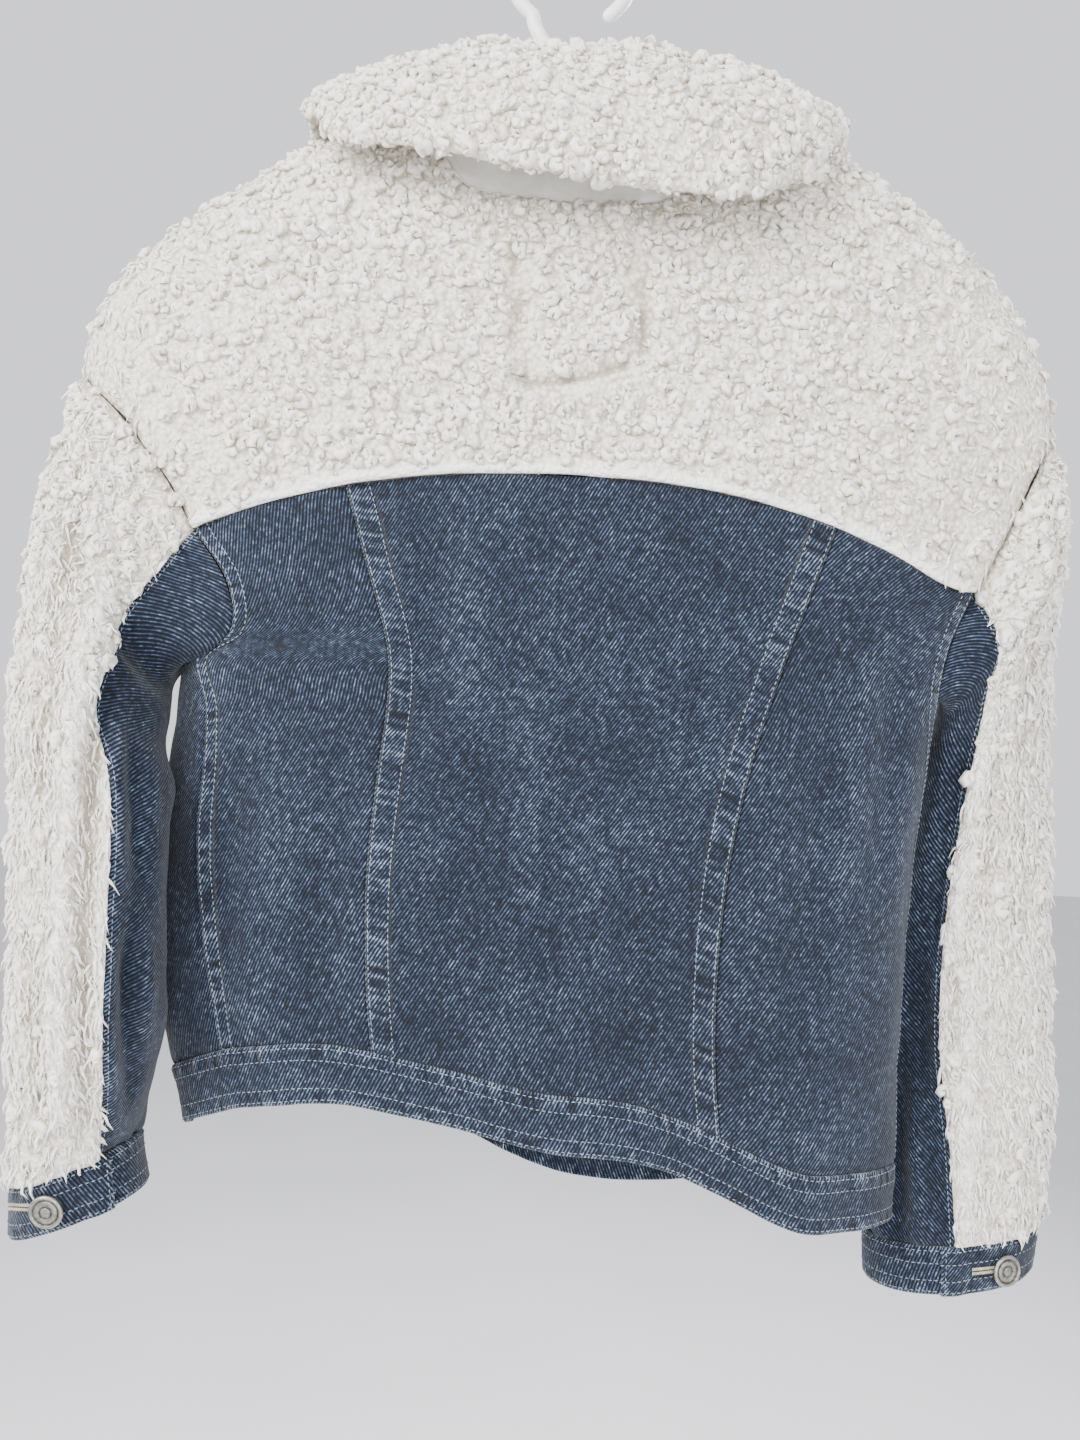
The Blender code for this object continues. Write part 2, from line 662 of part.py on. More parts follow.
def sleeve_surface(table, loop):
    """The sleeve's points and normals. At the armhole they are shared with the body's pieces."""
    start = np.array([grid.points[row, edge] for grid, row, edge in loop])
    body = np.array([grid.normals[row, edge] for grid, row, edge in loop])
    rings = np.stack([start] + [sleeve_ring(row, len(loop)) for row in table])
    last = len(rings) - 1
    steps = np.concatenate([np.arange(0, last - 1, 0.5), [last - 1, last - 0.5, last]])
    points = smooth(steps, np.arange(len(rings)), rings)
    normals = sleeve_normals(points)
    points[0] += unit(points[1] - points[0]) * ARMHOLE_GAP
    folded = np.sum(body * normals[0], axis=-1) < -0.1
    points[0, folded] += body[folded] * UNDERARM_CLEARANCE
    normals[0, ~folded] = unit(body + normals[0])[~folded]
    return points, normals, folded


def build_sleeve(side, points, normals):
    count, rows = points.shape[1], len(points) - 3
    half = UPPER_SEGMENTS // 2
    wrap = [n % count for n in range(-half, count + half + 1)]
    points, normals = points[:, wrap], normals[:, wrap]
    upper = block((0, rows), (0, UPPER_SEGMENTS))
    under = block((0, rows), (UPPER_SEGMENTS, count))
    cuff = block((rows, len(points) - 1), (UPPER_SEGMENTS, UPPER_SEGMENTS + count))
    wall("upper_sleeve_" + side, points, normals, upper, SHERPA_PILE, SHERPA_WALL, "sherpa", SHERPA_PINCH)
    wall("under_sleeve_" + side, points, normals, under, 0, DENIM_WALL, "denim")
    wall("cuff_" + side, points, normals, cuff, BAND_PROUD, BAND_WALL - BAND_PROUD, "denim")
    return points[rows + 1], normals[rows + 1]


def sleeve_normals(points):
    across = np.roll(points, -1, axis=1) - np.roll(points, 1, axis=1)
    along = np.gradient(points, axis=0)
    normals = unit(np.cross(across, along))
    centre = points.mean(axis=1, keepdims=True)
    outward = np.sum((points - centre) * normals, axis=-1).mean()
    return normals if outward > 0 else -normals


# ---- collar --------------------------------------------------------------------------------
def neckline(back_yoke, front_yoke):
    """The yokes' neck edges, from the right front round the back to the left front, and each point's turn."""
    fronts, backs = front_yoke.points[-1], back_yoke.points[-1]
    right, left = fronts[FRONT_SPAN:0:-1], fronts[: FRONT_SPAN + PLACKET_SPAN : -1]
    last = fronts[FRONT_SPAN + PLACKET_SPAN :][:1]
    points = np.concatenate([right, backs[::-1], left[1:], last])
    share = np.clip((points[:, 0] - SLID) / NECK_HALF_WIDTH, -1, 1)
    turns = np.degrees(np.arcsin(share))
    turns[: len(right)] = -180 - turns[: len(right)]
    turns[len(right) + len(backs) :] = 180 - turns[len(right) + len(backs) :]
    return points, turns


def collar_lines(turns):
    """The collar's fold and the fall's edge, one point for each column."""
    size, side = np.abs(turns), np.sign(turns)
    knots = column(COLLAR, 0)
    lines = []
    for first in (1, 4):
        x, y, z = (smooth(size, knots, column(COLLAR, first + n)) for n in range(3))
        shift = COLLAR_TWIST if first == 4 else 0
        lines.append(np.stack([SLID + shift + x * side, y, z], axis=-1))
    return lines


def neck_normals(points, normals):
    """Halfway between the body's normals and the collar stand's, which are level."""
    level = points - np.array([SLID, 0, 0])
    level[..., 0] /= NECK_HALF_WIDTH
    level[..., 1] /= NECK_HALF_WIDTH * 0.35
    level[..., 2] = 0
    return unit(unit(normals) + unit(level))


def build_collar(back_yoke, front_yoke):
    neck, turns = neckline(back_yoke, front_yoke)
    fold, edge = collar_lines(turns)
    share = np.linspace(0, 1, FALL_ROWS + 1)[:, None, None]
    outward = edge - fold
    outward[..., 2] = 0
    outward = unit(outward)
    crown = FALL_CROWN * np.sin(math.pi * share) * outward
    lift = 0.35 * FALL_CROWN * np.sin(math.pi * share) * np.array([0, 0, 1.0])
    points = fold + (edge - fold) * share + crown + lift
    along = np.gradient(points, axis=1)
    down = np.gradient(points, axis=0)
    normals = unit(np.cross(along, down))
    if float(np.mean(np.sum(normals * outward, axis=-1))) < 0:
        normals = -normals
    cells = block((0, FALL_ROWS), (0, len(turns) - 1))
    wall("collar_fall", points, normals, cells, FALL_HALF_WALL, FALL_HALF_WALL, "sherpa")
    build_stand(neck, fold, outward)


def build_stand(neck, fold, outward):
    foot = neck + np.array([0, 0, STAND_LIFT])
    top = fold - outward * STAND_INSET
    share = np.linspace(0, 1, 4)[:, None, None]
    points = foot + (top - foot) * share
    along = np.gradient(points, axis=1)
    up = np.gradient(points, axis=0)
    normals = unit(np.cross(along, up))
    if normals[0, len(neck) // 2, 1] < 0:
        normals = -normals
    normals[0] = unit(normals[0] + neck_normals(neck, normals[0]))
    cells = block((0, 3), (0, len(neck) - 1))
    wall("collar_stand", points, normals, cells, 0, STAND_WALL, "cotton")


# ---- buttons -------------------------------------------------------------------------------
def button_mesh():
    data = bpy.data.meshes.new("shank_button")
    points = [(radius, 0, height) for radius, height in BUTTON_PROFILE]
    data.from_pydata(points, [(n, n + 1) for n in range(len(points) - 1)], [])
    return data


def build_button(name, data, point, normal, proud):
    obj = place_object(name, data, "pewter")
    turn = obj.modifiers.new("turn", "SCREW")
    turn.steps = turn.render_steps = BUTTON_STEPS
    turn.use_merge_vertices = True
    turn.merge_threshold = 1e-5
    turn.use_normal_calculate = True
    direction = bpy_vector(normal)
    obj.location = bpy_vector(point + normal * (proud + BUTTON_SEAT))
    obj.rotation_euler = direction.to_track_quat("Z", "Y").to_euler()
    return obj


def bpy_vector(values):
    from mathutils import Vector

    return Vector([float(v) for v in values])


# ---- hanger --------------------------------------------------------------------------------
def tube(name, points, closed):
    curve = bpy.data.curves.new(name, "CURVE")
    curve.dimensions = "3D"
    curve.bevel_depth = HANGER_RADIUS
    curve.bevel_resolution = 2
    curve.use_fill_caps = True
    spline = curve.splines.new("POLY")
    spline.points.add(len(points) - 1)
    for place, point in zip(spline.points, points):
        place.co = (*point, 1.0)
    spline.use_cyclic_u = closed
    return curve


def solid_from_curve(name, curve):
    """The curve's tube as a mesh with its caps welded."""
    carrier = bpy.data.objects.new(name, curve)
    bpy.context.scene.collection.objects.link(carrier)
    graph = bpy.context.evaluated_depsgraph_get()
    data = bpy.data.meshes.new_from_object(carrier.evaluated_get(graph))
    bpy.data.objects.remove(carrier)
    mesh = bmesh.new()
    mesh.from_mesh(data)
    bmesh.ops.remove_doubles(mesh, verts=mesh.verts, dist=1e-6)
    bmesh.ops.recalc_face_normals(mesh, faces=mesh.faces)
    mesh.to_mesh(data)
    mesh.free()
    return data


def hook_points():
    """From the hook's free end at -X, over the top, round to +X and in to the neck."""
    centre = HANGER_RADIUS - HOOK_RADIUS
    points = []
    for degrees in range(-50, 236, 13):
        turn = math.radians(degrees)
        points.append((-HOOK_RADIUS * math.cos(turn), 0, centre + HOOK_RADIUS * math.sin(turn)))
    last = points[-1]
    for share in (0.3, 0.6, 0.85, 1.0):
        bend = share * share * (3 - 2 * share)
        points.append((last[0] * (1 - bend), 0, last[2] + (HOOK_NECK_FOOT - last[2]) * share))
    return points


def hanger_points():
    knots = np.arange(len(HANGER_ARM))
    at = np.linspace(0, knots[-1], 29)
    x, z = (smooth(at, knots, column(HANGER_ARM, n)) for n in (0, 1))
    half = [(float(a), 0.0, float(b)) for a, b in zip(x, z)]
    return half + [(-a, b, c) for a, b, c in reversed(half[1:-1])]


def build_hanger():
    hook = solid_from_curve("hanger_hook_tube", tube("hook", hook_points(), False))
    frame = solid_from_curve("hanger_frame_tube", tube("frame", hanger_points(), True))
    hanger = place_object("hanger", frame, "white_plastic")
    helper = bpy.data.objects.new("hook_helper", hook)
    HELPERS.objects.link(helper)
    helper.hide_render = True
    helper.display_type = "WIRE"
    join = hanger.modifiers.new("moulded in one", "BOOLEAN")
    join.operation = "UNION"
    join.object = helper


# ---- all -----------------------------------------------------------------------------------
def build_jacket():
    band, lower = lower_grid(True), lower_grid(False)
    back_arm, front_arm = armhole_grid(False), armhole_grid(True)
    back_yoke, front_yoke = yoke_grid(back_arm, False), yoke_grid(front_arm, True)
    grids = (lower, back_arm, back_yoke, front_arm, front_yoke)
    sleeves = {}
    for side, table in (("left", SLEEVE_LEFT), ("right", SLEEVE_RIGHT)):
        loop = armhole_loop(side, *grids)
        points, normals, folded = sleeve_surface(table, loop)
        for number, grid, row, edge in same_places(loop, side, grids):
            if not folded[number]:
                grid.normals[row, edge] = normals[0, number]
        sleeves[side] = (points, normals)
        soften_armhole(side, back_yoke, front_yoke)
    for grid in (back_yoke, front_yoke):
        grid.normals[-1] = neck_normals(grid.points[-1], grid.normals[-1])
    build_back(lower, back_arm, back_yoke)
    build_fronts(lower, front_arm, front_yoke)
    build_waistband(band)
    build_collar(back_yoke, front_yoke)
    shank = button_mesh()
    for side, (points, normals) in sleeves.items():
        ring, ring_normals = build_sleeve(side, points, normals)
        seat = UPPER_SEGMENTS - 2
        build_button("cuff_button_" + side, shank, ring[seat], ring_normals[seat], BAND_PROUD)
    for number, height in enumerate(FRONT_BUTTONS, 1):
        angle = angle_at(0.0, np.array(height), True)
        place, normal = body_point(angle, height), body_normal(angle, height)
        build_button(f"front_button_{number}", shank, place, normal, BAND_PROUD)


clear_scene()
JACKET = bpy.data.collections.new("sherpa_trimmed_jacket")
HELPERS = bpy.data.collections.new("helpers")
bpy.context.scene.collection.children.link(JACKET)
bpy.context.scene.collection.children.link(HELPERS)
LOOKS = {name: material(name) for name in COLOURS}
build_jacket()
build_hanger()
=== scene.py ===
"""A girls' cropped denim jacket with sherpa yoke, collar and upper sleeves, hung on a tubular hanger.

Metres, +Z up. The front faces -Y, the back +Y, and the wearer's left is at +X. The jacket's ring, panels
and sleeves are worked out as the packed model's are, and each piece of cloth is laid finely on them.
Only the back neckline's curve and the turned collar's edge behind differ a little from the packed model.
"""

import math

import bmesh
import bpy
import numpy as np
from mathutils import Matrix, Quaternion, Vector


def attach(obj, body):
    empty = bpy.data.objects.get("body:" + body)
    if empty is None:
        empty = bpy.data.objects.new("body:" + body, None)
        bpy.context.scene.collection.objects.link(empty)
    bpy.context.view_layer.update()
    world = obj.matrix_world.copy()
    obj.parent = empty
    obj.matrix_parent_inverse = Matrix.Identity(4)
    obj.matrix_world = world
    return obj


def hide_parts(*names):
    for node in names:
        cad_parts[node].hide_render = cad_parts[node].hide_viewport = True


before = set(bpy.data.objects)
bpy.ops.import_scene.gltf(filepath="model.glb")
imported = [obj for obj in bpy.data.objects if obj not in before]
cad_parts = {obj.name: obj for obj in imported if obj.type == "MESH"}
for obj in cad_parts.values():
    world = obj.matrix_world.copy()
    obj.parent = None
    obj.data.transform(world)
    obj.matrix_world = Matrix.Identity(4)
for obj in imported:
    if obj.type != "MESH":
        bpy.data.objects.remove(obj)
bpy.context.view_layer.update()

bl_info = {
    "name": "Sherpa trimmed denim jacket",
    "version": (1, 0, 0),
    "blender": (4, 5, 0),
    "location": "View3D > Sidebar > Jacket",
    "description": "Builds a denim jacket with sherpa yoke, collar and sleeves on its hanger",
    "category": "Add Mesh",
}

# ---- cut and make, in metres and degrees ---------------------------------------------------
DENIM_WALL = 0.0016
BAND_OUT, BAND_IN = 0.0010, 0.0024  # waistband, cuffs and placket: two layers and their turnings
NAP_OUT, NAP_EDGE, NAP_IN = 0.0016, 0.0010, 0.0014  # the sherpa's knitted ground with its packed nap
FALL_HALF_WALL = 0.0026
STAND_WALL = 0.0018
ARMHOLE_GAP = 0.0005
SEAM_SHARE = 0.008  # of a coarse cell: each piece stops this far short of its seam

SLID = -0.015  # how far the jacket has slid along its hanger
ROUND = 2.5
UNDERARM = -0.415
WAISTBAND_HEIGHT = 0.030
PLACKET_WIDTH = 0.038
NECK_HALF_WIDTH = 0.090
NECK_SIDE, NECK_BACK, NECK_FRONT = -0.118, -0.175, -0.195
NECK_CURVE_LEFT, NECK_CURVE_RIGHT, NECK_CURVE_FRONT = 5.5, 3.6, 2.6
YOKE_BACK, YOKE_BACK_LEFT, YOKE_BACK_RIGHT = -0.315, -0.350, -0.360
YOKE_FRONT = -0.335
YOKE_HALF_WIDTH = 0.195
YOKE_ARCH = 2.3

# height, left side, right side, depth to the back, depth to the front
TORSO = (
    (-0.700, 0.186, -0.190, 0.047, 0.045),
    (-0.660, 0.190, -0.191, 0.049, 0.046),
    (-0.600, 0.206, -0.190, 0.052, 0.049),
    (-0.530, 0.212, -0.191, 0.055, 0.051),
    (-0.460, 0.207, -0.196, 0.056, 0.052),
    (-0.415, 0.203, -0.203, 0.056, 0.052),
    (-0.380, 0.214, -0.216, 0.055, 0.051),
    (-0.340, 0.236, -0.237, 0.053, 0.049),
    (-0.300, 0.253, -0.250, 0.051, 0.047),
    (-0.265, 0.262, -0.252, 0.049, 0.045),
    (-0.225, 0.252, -0.239, 0.047, 0.044),
    (-0.200, 0.231, -0.222, 0.045, 0.042),
    (-0.175, 0.200, -0.195, 0.042, 0.040),
    (-0.155, 0.170, -0.170, 0.039, 0.037),
    (-0.137, 0.138, -0.136, 0.035, 0.034),
    (-0.118, 0.090, -0.090, 0.031, 0.030),
)
# angle round the body, height of the hem there
HEM = (
    (0, -0.664),
    (25, -0.656),
    (45, -0.643),
    (60, -0.637),
    (75, -0.645),
    (90, -0.655),
    (104, -0.658),
    (116, -0.673),
    (128, -0.689),
    (150, -0.693),
    (180, -0.694),
    (230, -0.693),
    (270, -0.692),
    (278, -0.682),
    (285, -0.671),
    (300, -0.660),
    (320, -0.655),
    (340, -0.655),
    (360, -0.664),
)
# height, angles of the left side, left princess, right princess and right side seams
SEAMS = (
    (-0.700, 40.0, 66.0, 118.0, 180.0),
    (-0.600, 40.0, 67.0, 117.0, 180.0),
    (-0.500, 36.0, 66.5, 117.5, 177.0),
    (-0.440, 32.0, 66.0, 119.0, 168.0),
    (-0.415, 26.0, 65.5, 120.0, 160.0),
    (-0.350, 26.0, 63.5, 121.5, 160.0),
    (-0.310, 26.0, 63.0, 122.0, 160.0),
)
# share of the way up, then the armhole's angle from the side: back left, back right, front
ARMHOLE_LOW = (
    (0.00, 26.0, 20.0, 20.0),
    (0.22, 39.0, 23.0, 25.0),
    (0.60, 41.0, 26.0, 28.0),
    (1.00, 38.5, 27.5, 28.0),
)
ARMHOLE_HIGH = (
    (0.000, 38.5, 27.5, 28.0),
    (0.090, 37.0, 27.0, 27.0),
    (0.170, 34.0, 25.0, 25.0),
    (0.250, 29.0, 21.0, 21.0),
    (0.310, 21.0, 15.0, 15.0),
    (0.345, 11.0, 8.0, 8.0),
    (0.366, 0.0, 0.0, 0.0),
    (0.460, 0.0, 0.0, 0.0),
    (0.560, 0.0, 0.0, 0.0),
    (0.670, 0.0, 0.0, 0.0),
    (0.780, 0.0, 0.0, 0.0),
    (0.890, 0.0, 0.0, 0.0),
    (1.000, 0.0, 0.0, 0.0),
)
SHOULDER_ROW = 6
CUFF_RING = 17.0  # the sleeve's coarse ring nearest to the cuff's middle
# angle, width in degrees, how far out, height where it is deepest, reach up from there
FOLDS = (
    (112, 9, -0.007, -0.690, 0.16),
    (134, 13, 0.007, -0.690, 0.20),
    (78, 14, -0.006, -0.690, 0.14),
    (52, 10, 0.004, -0.690, 0.16),
    (100, 10, 0.003, -0.690, 0.12),
    (240, 12, 0.005, -0.700, 0.18),
    (300, 14, -0.005, -0.700, 0.16),
    (325, 10, 0.004, -0.700, 0.15),
    (212, 10, -0.004, -0.700, 0.15),
)
# outer x, outer z, inner x, inner z, middle y, half depth, share of the width that is denim
# at the back, and at the front. The last row is the cuff's lower edge.
SLEEVE_LEFT = (
    (0.271, -0.305, 0.2065, -0.429, 0.008, 0.036, 0.28, 0.34),
    (0.275, -0.350, 0.205, -0.441, 0.022, 0.037, 0.28, 0.34),
    (0.275, -0.405, 0.203, -0.458, 0.035, 0.037, 0.33, 0.32),
    (0.271, -0.465, 0.195, -0.486, 0.046, 0.037, 0.27, 0.30),
    (0.267, -0.530, 0.195, -0.535, 0.050, 0.036, 0.25, 0.30),
    (0.265, -0.590, 0.192, -0.592, 0.048, 0.036, 0.28, 0.30),
    (0.265, -0.640, 0.199, -0.634, 0.042, 0.035, 0.22, 0.30),
    (0.267, -0.686, 0.205, -0.660, 0.036, 0.034, 0.18, 0.30),
    (0.267, -0.713, 0.201, -0.687, 0.034, 0.033, 0.18, 0.30),
)
SLEEVE_RIGHT = (
    (-0.262, -0.305, -0.2065, -0.425, -0.004, 0.036, 0.33, 0.30),
    (-0.265, -0.350, -0.205, -0.436, -0.016, 0.038, 0.31, 0.30),
    (-0.270, -0.410, -0.200, -0.452, -0.030, 0.039, 0.33, 0.30),
    (-0.275, -0.470, -0.196, -0.482, -0.040, 0.039, 0.31, 0.30),
    (-0.281, -0.535, -0.192, -0.540, -0.045, 0.038, 0.28, 0.30),
    (-0.288, -0.600, -0.190, -0.605, -0.045, 0.037, 0.28, 0.30),
    (-0.290, -0.655, -0.188, -0.664, -0.042, 0.036, 0.36, 0.30),
    (-0.284, -0.704, -0.188, -0.716, -0.036, 0.035, 0.42, 0.34),
    (-0.281, -0.729, -0.190, -0.742, -0.034, 0.034, 0.42, 0.34),
)
UPPER_SEGMENTS = 12
BOTTOM_SEGMENTS = 3
# turn from the centre back in degrees, then x, y, z of the fold and x, y, z of the fall's edge
COLLAR = (
    (0, 0.000, 0.041, -0.095, 0.000, 0.080, -0.180),
    (30, 0.045, 0.039, -0.096, 0.060, 0.078, -0.178),
    (55, 0.077, 0.027, -0.098, 0.110, 0.062, -0.166),
    (80, 0.092, 0.004, -0.103, 0.141, 0.014, -0.1245),
    (105, 0.091, -0.022, -0.108, 0.141, -0.034, -0.136),
    (130, 0.074, -0.044, -0.130, 0.116, -0.064, -0.186),
    (155, 0.042, -0.050, -0.156, 0.080, -0.072, -0.226),
    (170, 0.022, -0.052, -0.174, 0.052, -0.073, -0.244),
)
COLLAR_TWIST = 0.008
# where the fall's edge behind is raised or drawn down: middle x, width, how far up
FALL_EDGE_LIFTS = ((0.060, 0.048, 0.0115), (-0.080, 0.035, -0.0040))
FALL_ROWS = 6
FALL_CROWN = 0.012
STAND_INSET = 0.0056
STAND_LIFT = 0.0003

HANGER_RADIUS = 0.0038
HOOK_RADIUS = 0.034
HOOK_NECK_FOOT = -0.0945
HANGER_ARM = (
    (0.000, -0.094),
    (0.028, -0.102),
    (0.060, -0.122),
    (0.100, -0.146),
    (0.140, -0.170),
    (0.158, -0.182),
    (0.164, -0.193),
    (0.158, -0.203),
    (0.140, -0.207),
    (0.090, -0.208),
    (0.040, -0.208),
    (0.000, -0.208),
)

# ---- creases: from x, z to x, z, half width, depth inwards ---------------------------------
BACK_CREASES = (
    (-0.082, -0.392, -0.083, -0.468, 0.0045, 0.0022),
    (-0.047, -0.328, -0.049, -0.372, 0.0040, 0.0018),
    (-0.017, -0.460, -0.014, -0.580, 0.0060, 0.0020),
    (0.055, -0.340, 0.048, -0.440, 0.0080, 0.0016),
    (0.012, -0.400, 0.030, -0.560, 0.0100, 0.0014),
    (-0.060, -0.500, -0.052, -0.610, 0.0090, 0.0018),
    (0.094, -0.470, 0.100, -0.600, 0.0100, 0.0016),
    (0.150, -0.470, 0.152, -0.610, 0.0090, 0.0022),
    (-0.150, -0.440, -0.140, -0.590, 0.0110, 0.0020),
    (-0.186, -0.400, -0.180, -0.520, 0.0080, 0.0022),
)
FRONT_CREASES = (
    (-0.120, -0.360, -0.128, -0.470, 0.0070, 0.0022),
    (-0.070, -0.420, -0.062, -0.560, 0.0090, 0.0018),
    (-0.158, -0.430, -0.150, -0.590, 0.0090, 0.0022),
    (0.050, -0.350, 0.044, -0.460, 0.0060, 0.0020),
    (0.098, -0.450, 0.106, -0.600, 0.0100, 0.0020),
    (0.150, -0.400, 0.142, -0.520, 0.0070, 0.0022),
)
LEFT_SLEEVE_CREASES = (
    (0.197, -0.440, 0.180, -0.545, 0.0042, 0.0050),
    (0.189, -0.555, 0.185, -0.668, 0.0038, 0.0040),
    (0.1765, -0.470, 0.1735, -0.600, 0.0034, 0.0030),
    (0.2085, -0.425, 0.2050, -0.640, 0.0050, 0.0050),
    (0.190, -0.500, 0.187, -0.600, 0.0040, 0.0022),
    (0.232, -0.560, 0.226, -0.660, 0.0050, 0.0030),
    (0.236, -0.330, 0.232, -0.500, 0.0070, 0.0036),
    (0.246, -0.380, 0.250, -0.560, 0.0060, 0.0018),
)
RIGHT_SLEEVE_CREASES = (
    (-0.236, -0.430, -0.226, -0.560, 0.0042, 0.0044),
    (-0.222, -0.560, -0.232, -0.690, 0.0045, 0.0050),
    (-0.218, -0.600, -0.214, -0.712, 0.0050, 0.0040),
    (-0.236, -0.560, -0.238, -0.700, 0.0050, 0.0034),
    (-0.205, -0.500, -0.205, -0.620, 0.0045, 0.0030),
    (-0.262, -0.380, -0.270, -0.560, 0.0070, 0.0020),
    (-0.250, -0.430, -0.252, -0.540, 0.0060, 0.0024),
)
# lines where the back yoke is sewn through to what lies under it
YOKE_STITCHING = (
    (0.021, -0.204, 0.015, -0.256),
    (0.015, -0.256, 0.013, -0.270),
    (0.013, -0.270, -0.010, -0.267),
    (-0.010, -0.267, -0.038, -0.258),
    (-0.041, -0.204, -0.047, -0.250),
)


# ---- small tools ---------------------------------------------------------------------------
def linear(code):
    """A six-figure sRGB hex colour as linear red, green, blue and alpha."""
    parts = [int(code[n : n + 2], 16) / 255 for n in (0, 2, 4)]
    return (*[p / 12.92 if p <= 0.04045 else ((p + 0.055) / 1.055) ** 2.4 for p in parts], 1.0)


def smooth(at, knots, values):
    """A smooth line through a table's points, level past its ends. Values may be rows of points."""
    knots, values = np.asarray(knots, float), np.asarray(values, float)
    at = np.clip(np.asarray(at, float), knots[0], knots[-1])
    slopes = np.gradient(values, knots, axis=0)
    low = np.clip(np.searchsorted(knots, at, side="right") - 1, 0, len(knots) - 2)
    span = knots[low + 1] - knots[low]
    t = (at - knots[low]) / span
    extra = (1,) * (values.ndim - 1)
    t, span = t.reshape(t.shape + extra), span.reshape(span.shape + extra)
    return (
        (2 * t**3 - 3 * t**2 + 1) * values[low]
        + (t**3 - 2 * t**2 + t) * span * slopes[low]
        + (3 * t**2 - 2 * t**3) * values[low + 1]
        + (t**3 - t**2) * span * slopes[low + 1]
    )


def column(table, number):
    return np.array([row[number] for row in table], float)


def unit(vectors):
    length = np.linalg.norm(vectors, axis=-1, keepdims=True)
    return vectors / np.maximum(length, 1e-12)


def ease(values, low, high):
    """0 below low, 1 above high, and a soft step between."""
    t = np.clip((values - low) / (high - low), 0, 1)
    return t * t * (3 - 2 * t)


def ripple(points, wavelength, seed):
    """A soft uneven waviness from -1 to 1 over points in space."""
    random = np.random.default_rng(seed)
    total = np.zeros(points.shape[:-1])
    for _ in range(9):
        direction = unit(random.normal(size=3)) * 2 * math.pi / (wavelength * random.uniform(0.6, 1.7))
        total = total + np.sin(points @ direction + random.uniform(0, 6.28))
    return total / 4.5


# ---- the body's coarse surface -------------------------------------------------------------
def ring_size(height):
    knots = column(TORSO, 0)
    left, right, back, front = (smooth(height, knots, column(TORSO, n)) for n in (1, 2, 3, 4))
    return (left + right) / 2, (left - right) / 2, back, front


def fold_depth(angle, height):
    total = np.zeros(np.broadcast(angle, height).shape)
    for at, width, out, deepest, reach in FOLDS:
        across = np.exp(-(((angle % 360) - at) ** 2) / (2 * (width / 2) ** 2))
        along = np.clip(1 - (height - deepest) / reach, 0, 1)
        total = total + out * across * along**2 * (3 - 2 * along)
    return total


def body_point(angle, height):
    angle, height = np.broadcast_arrays(np.asarray(angle, float), np.asarray(height, float))
    middle, half, back, front = ring_size(height)
    c, s = np.cos(np.radians(angle)), np.sin(np.radians(angle))
    reach = (np.abs(c) ** ROUND + np.abs(s) ** ROUND) ** (1 / ROUND)
    depth = np.where(s > 0, back, front) + fold_depth(angle, height)
    return np.stack([SLID + middle + half * c / reach, depth * s / reach, height], axis=-1)


def angle_at(x, height, front):
    middle, half, _, _ = ring_size(height)
    share = np.clip((x - middle) / half, -0.9999, 0.9999)
    power = np.maximum(np.abs(share) ** ROUND, 1e-12)
    from_side = np.degrees(np.arctan(((1 - power) / power) ** (1 / ROUND)))
    back_angle = np.where(share > 0, from_side, 180 - from_side)
    return 360 - back_angle if front else back_angle


def neck_height(angle, front):
    lowest = NECK_FRONT if front else NECK_BACK
    height = np.full(np.shape(angle), (lowest + NECK_SIDE) / 2)
    for _ in range(120):
        x = body_point(angle, height)[..., 0] - SLID
        curve = NECK_CURVE_FRONT if front else np.where(x > 0, NECK_CURVE_LEFT, NECK_CURVE_RIGHT)
        aim = lowest + (NECK_SIDE - lowest) * np.minimum(np.abs(x) / NECK_HALF_WIDTH, 1) ** curve
        height = height + 0.15 * (aim - height)
    return height


def yoke_height(x, front):
    end = np.where(x > 0, YOKE_BACK_LEFT, YOKE_BACK_RIGHT)
    middle = YOKE_FRONT if front else YOKE_BACK
    share = np.minimum(np.abs(x) / YOKE_HALF_WIDTH, 1)
    return middle + (end - middle) * share**YOKE_ARCH


BACK_SPANS = (5, 8, 5)  # columns in the left side back, centre back and right side back
FRONT_SPAN = 8
PLACKET_SPAN = 2
WAIST_ROWS = 2
LOWER_ROWS = 9
ARM_ROW = LOWER_ROWS  # the underarm
YOKE_ROW = 12  # the yoke's seam
TOP_ROW = 24
BACK_COUNT = sum(BACK_SPANS)
RIGHT_FRONT = BACK_COUNT + BOTTOM_SEGMENTS
PLACKET_FROM = RIGHT_FRONT + FRONT_SPAN
LEFT_FRONT = PLACKET_FROM + PLACKET_SPAN
LEFT_ARM = LEFT_FRONT + FRONT_SPAN
ROUND_COUNT = LEFT_ARM + BOTTOM_SEGMENTS


def spread(edges, spans):
    parts = []
    for (first, last), count in zip(zip(edges[:-1], edges[1:]), spans):
        steps = np.arange(count) / count
        parts.append(first[:, None] + (last - first)[:, None] * steps)
    parts.append(edges[-1][:, None])
    return np.concatenate(parts, axis=1)


def seam_angles(height):
    knots = column(SEAMS, 0)
    return [smooth(height, knots, column(SEAMS, n)) for n in (1, 2, 3, 4)]


def placket_angles(height):
    half = PLACKET_WIDTH / 2
    return angle_at(-half, height, True), angle_at(half, height, True)


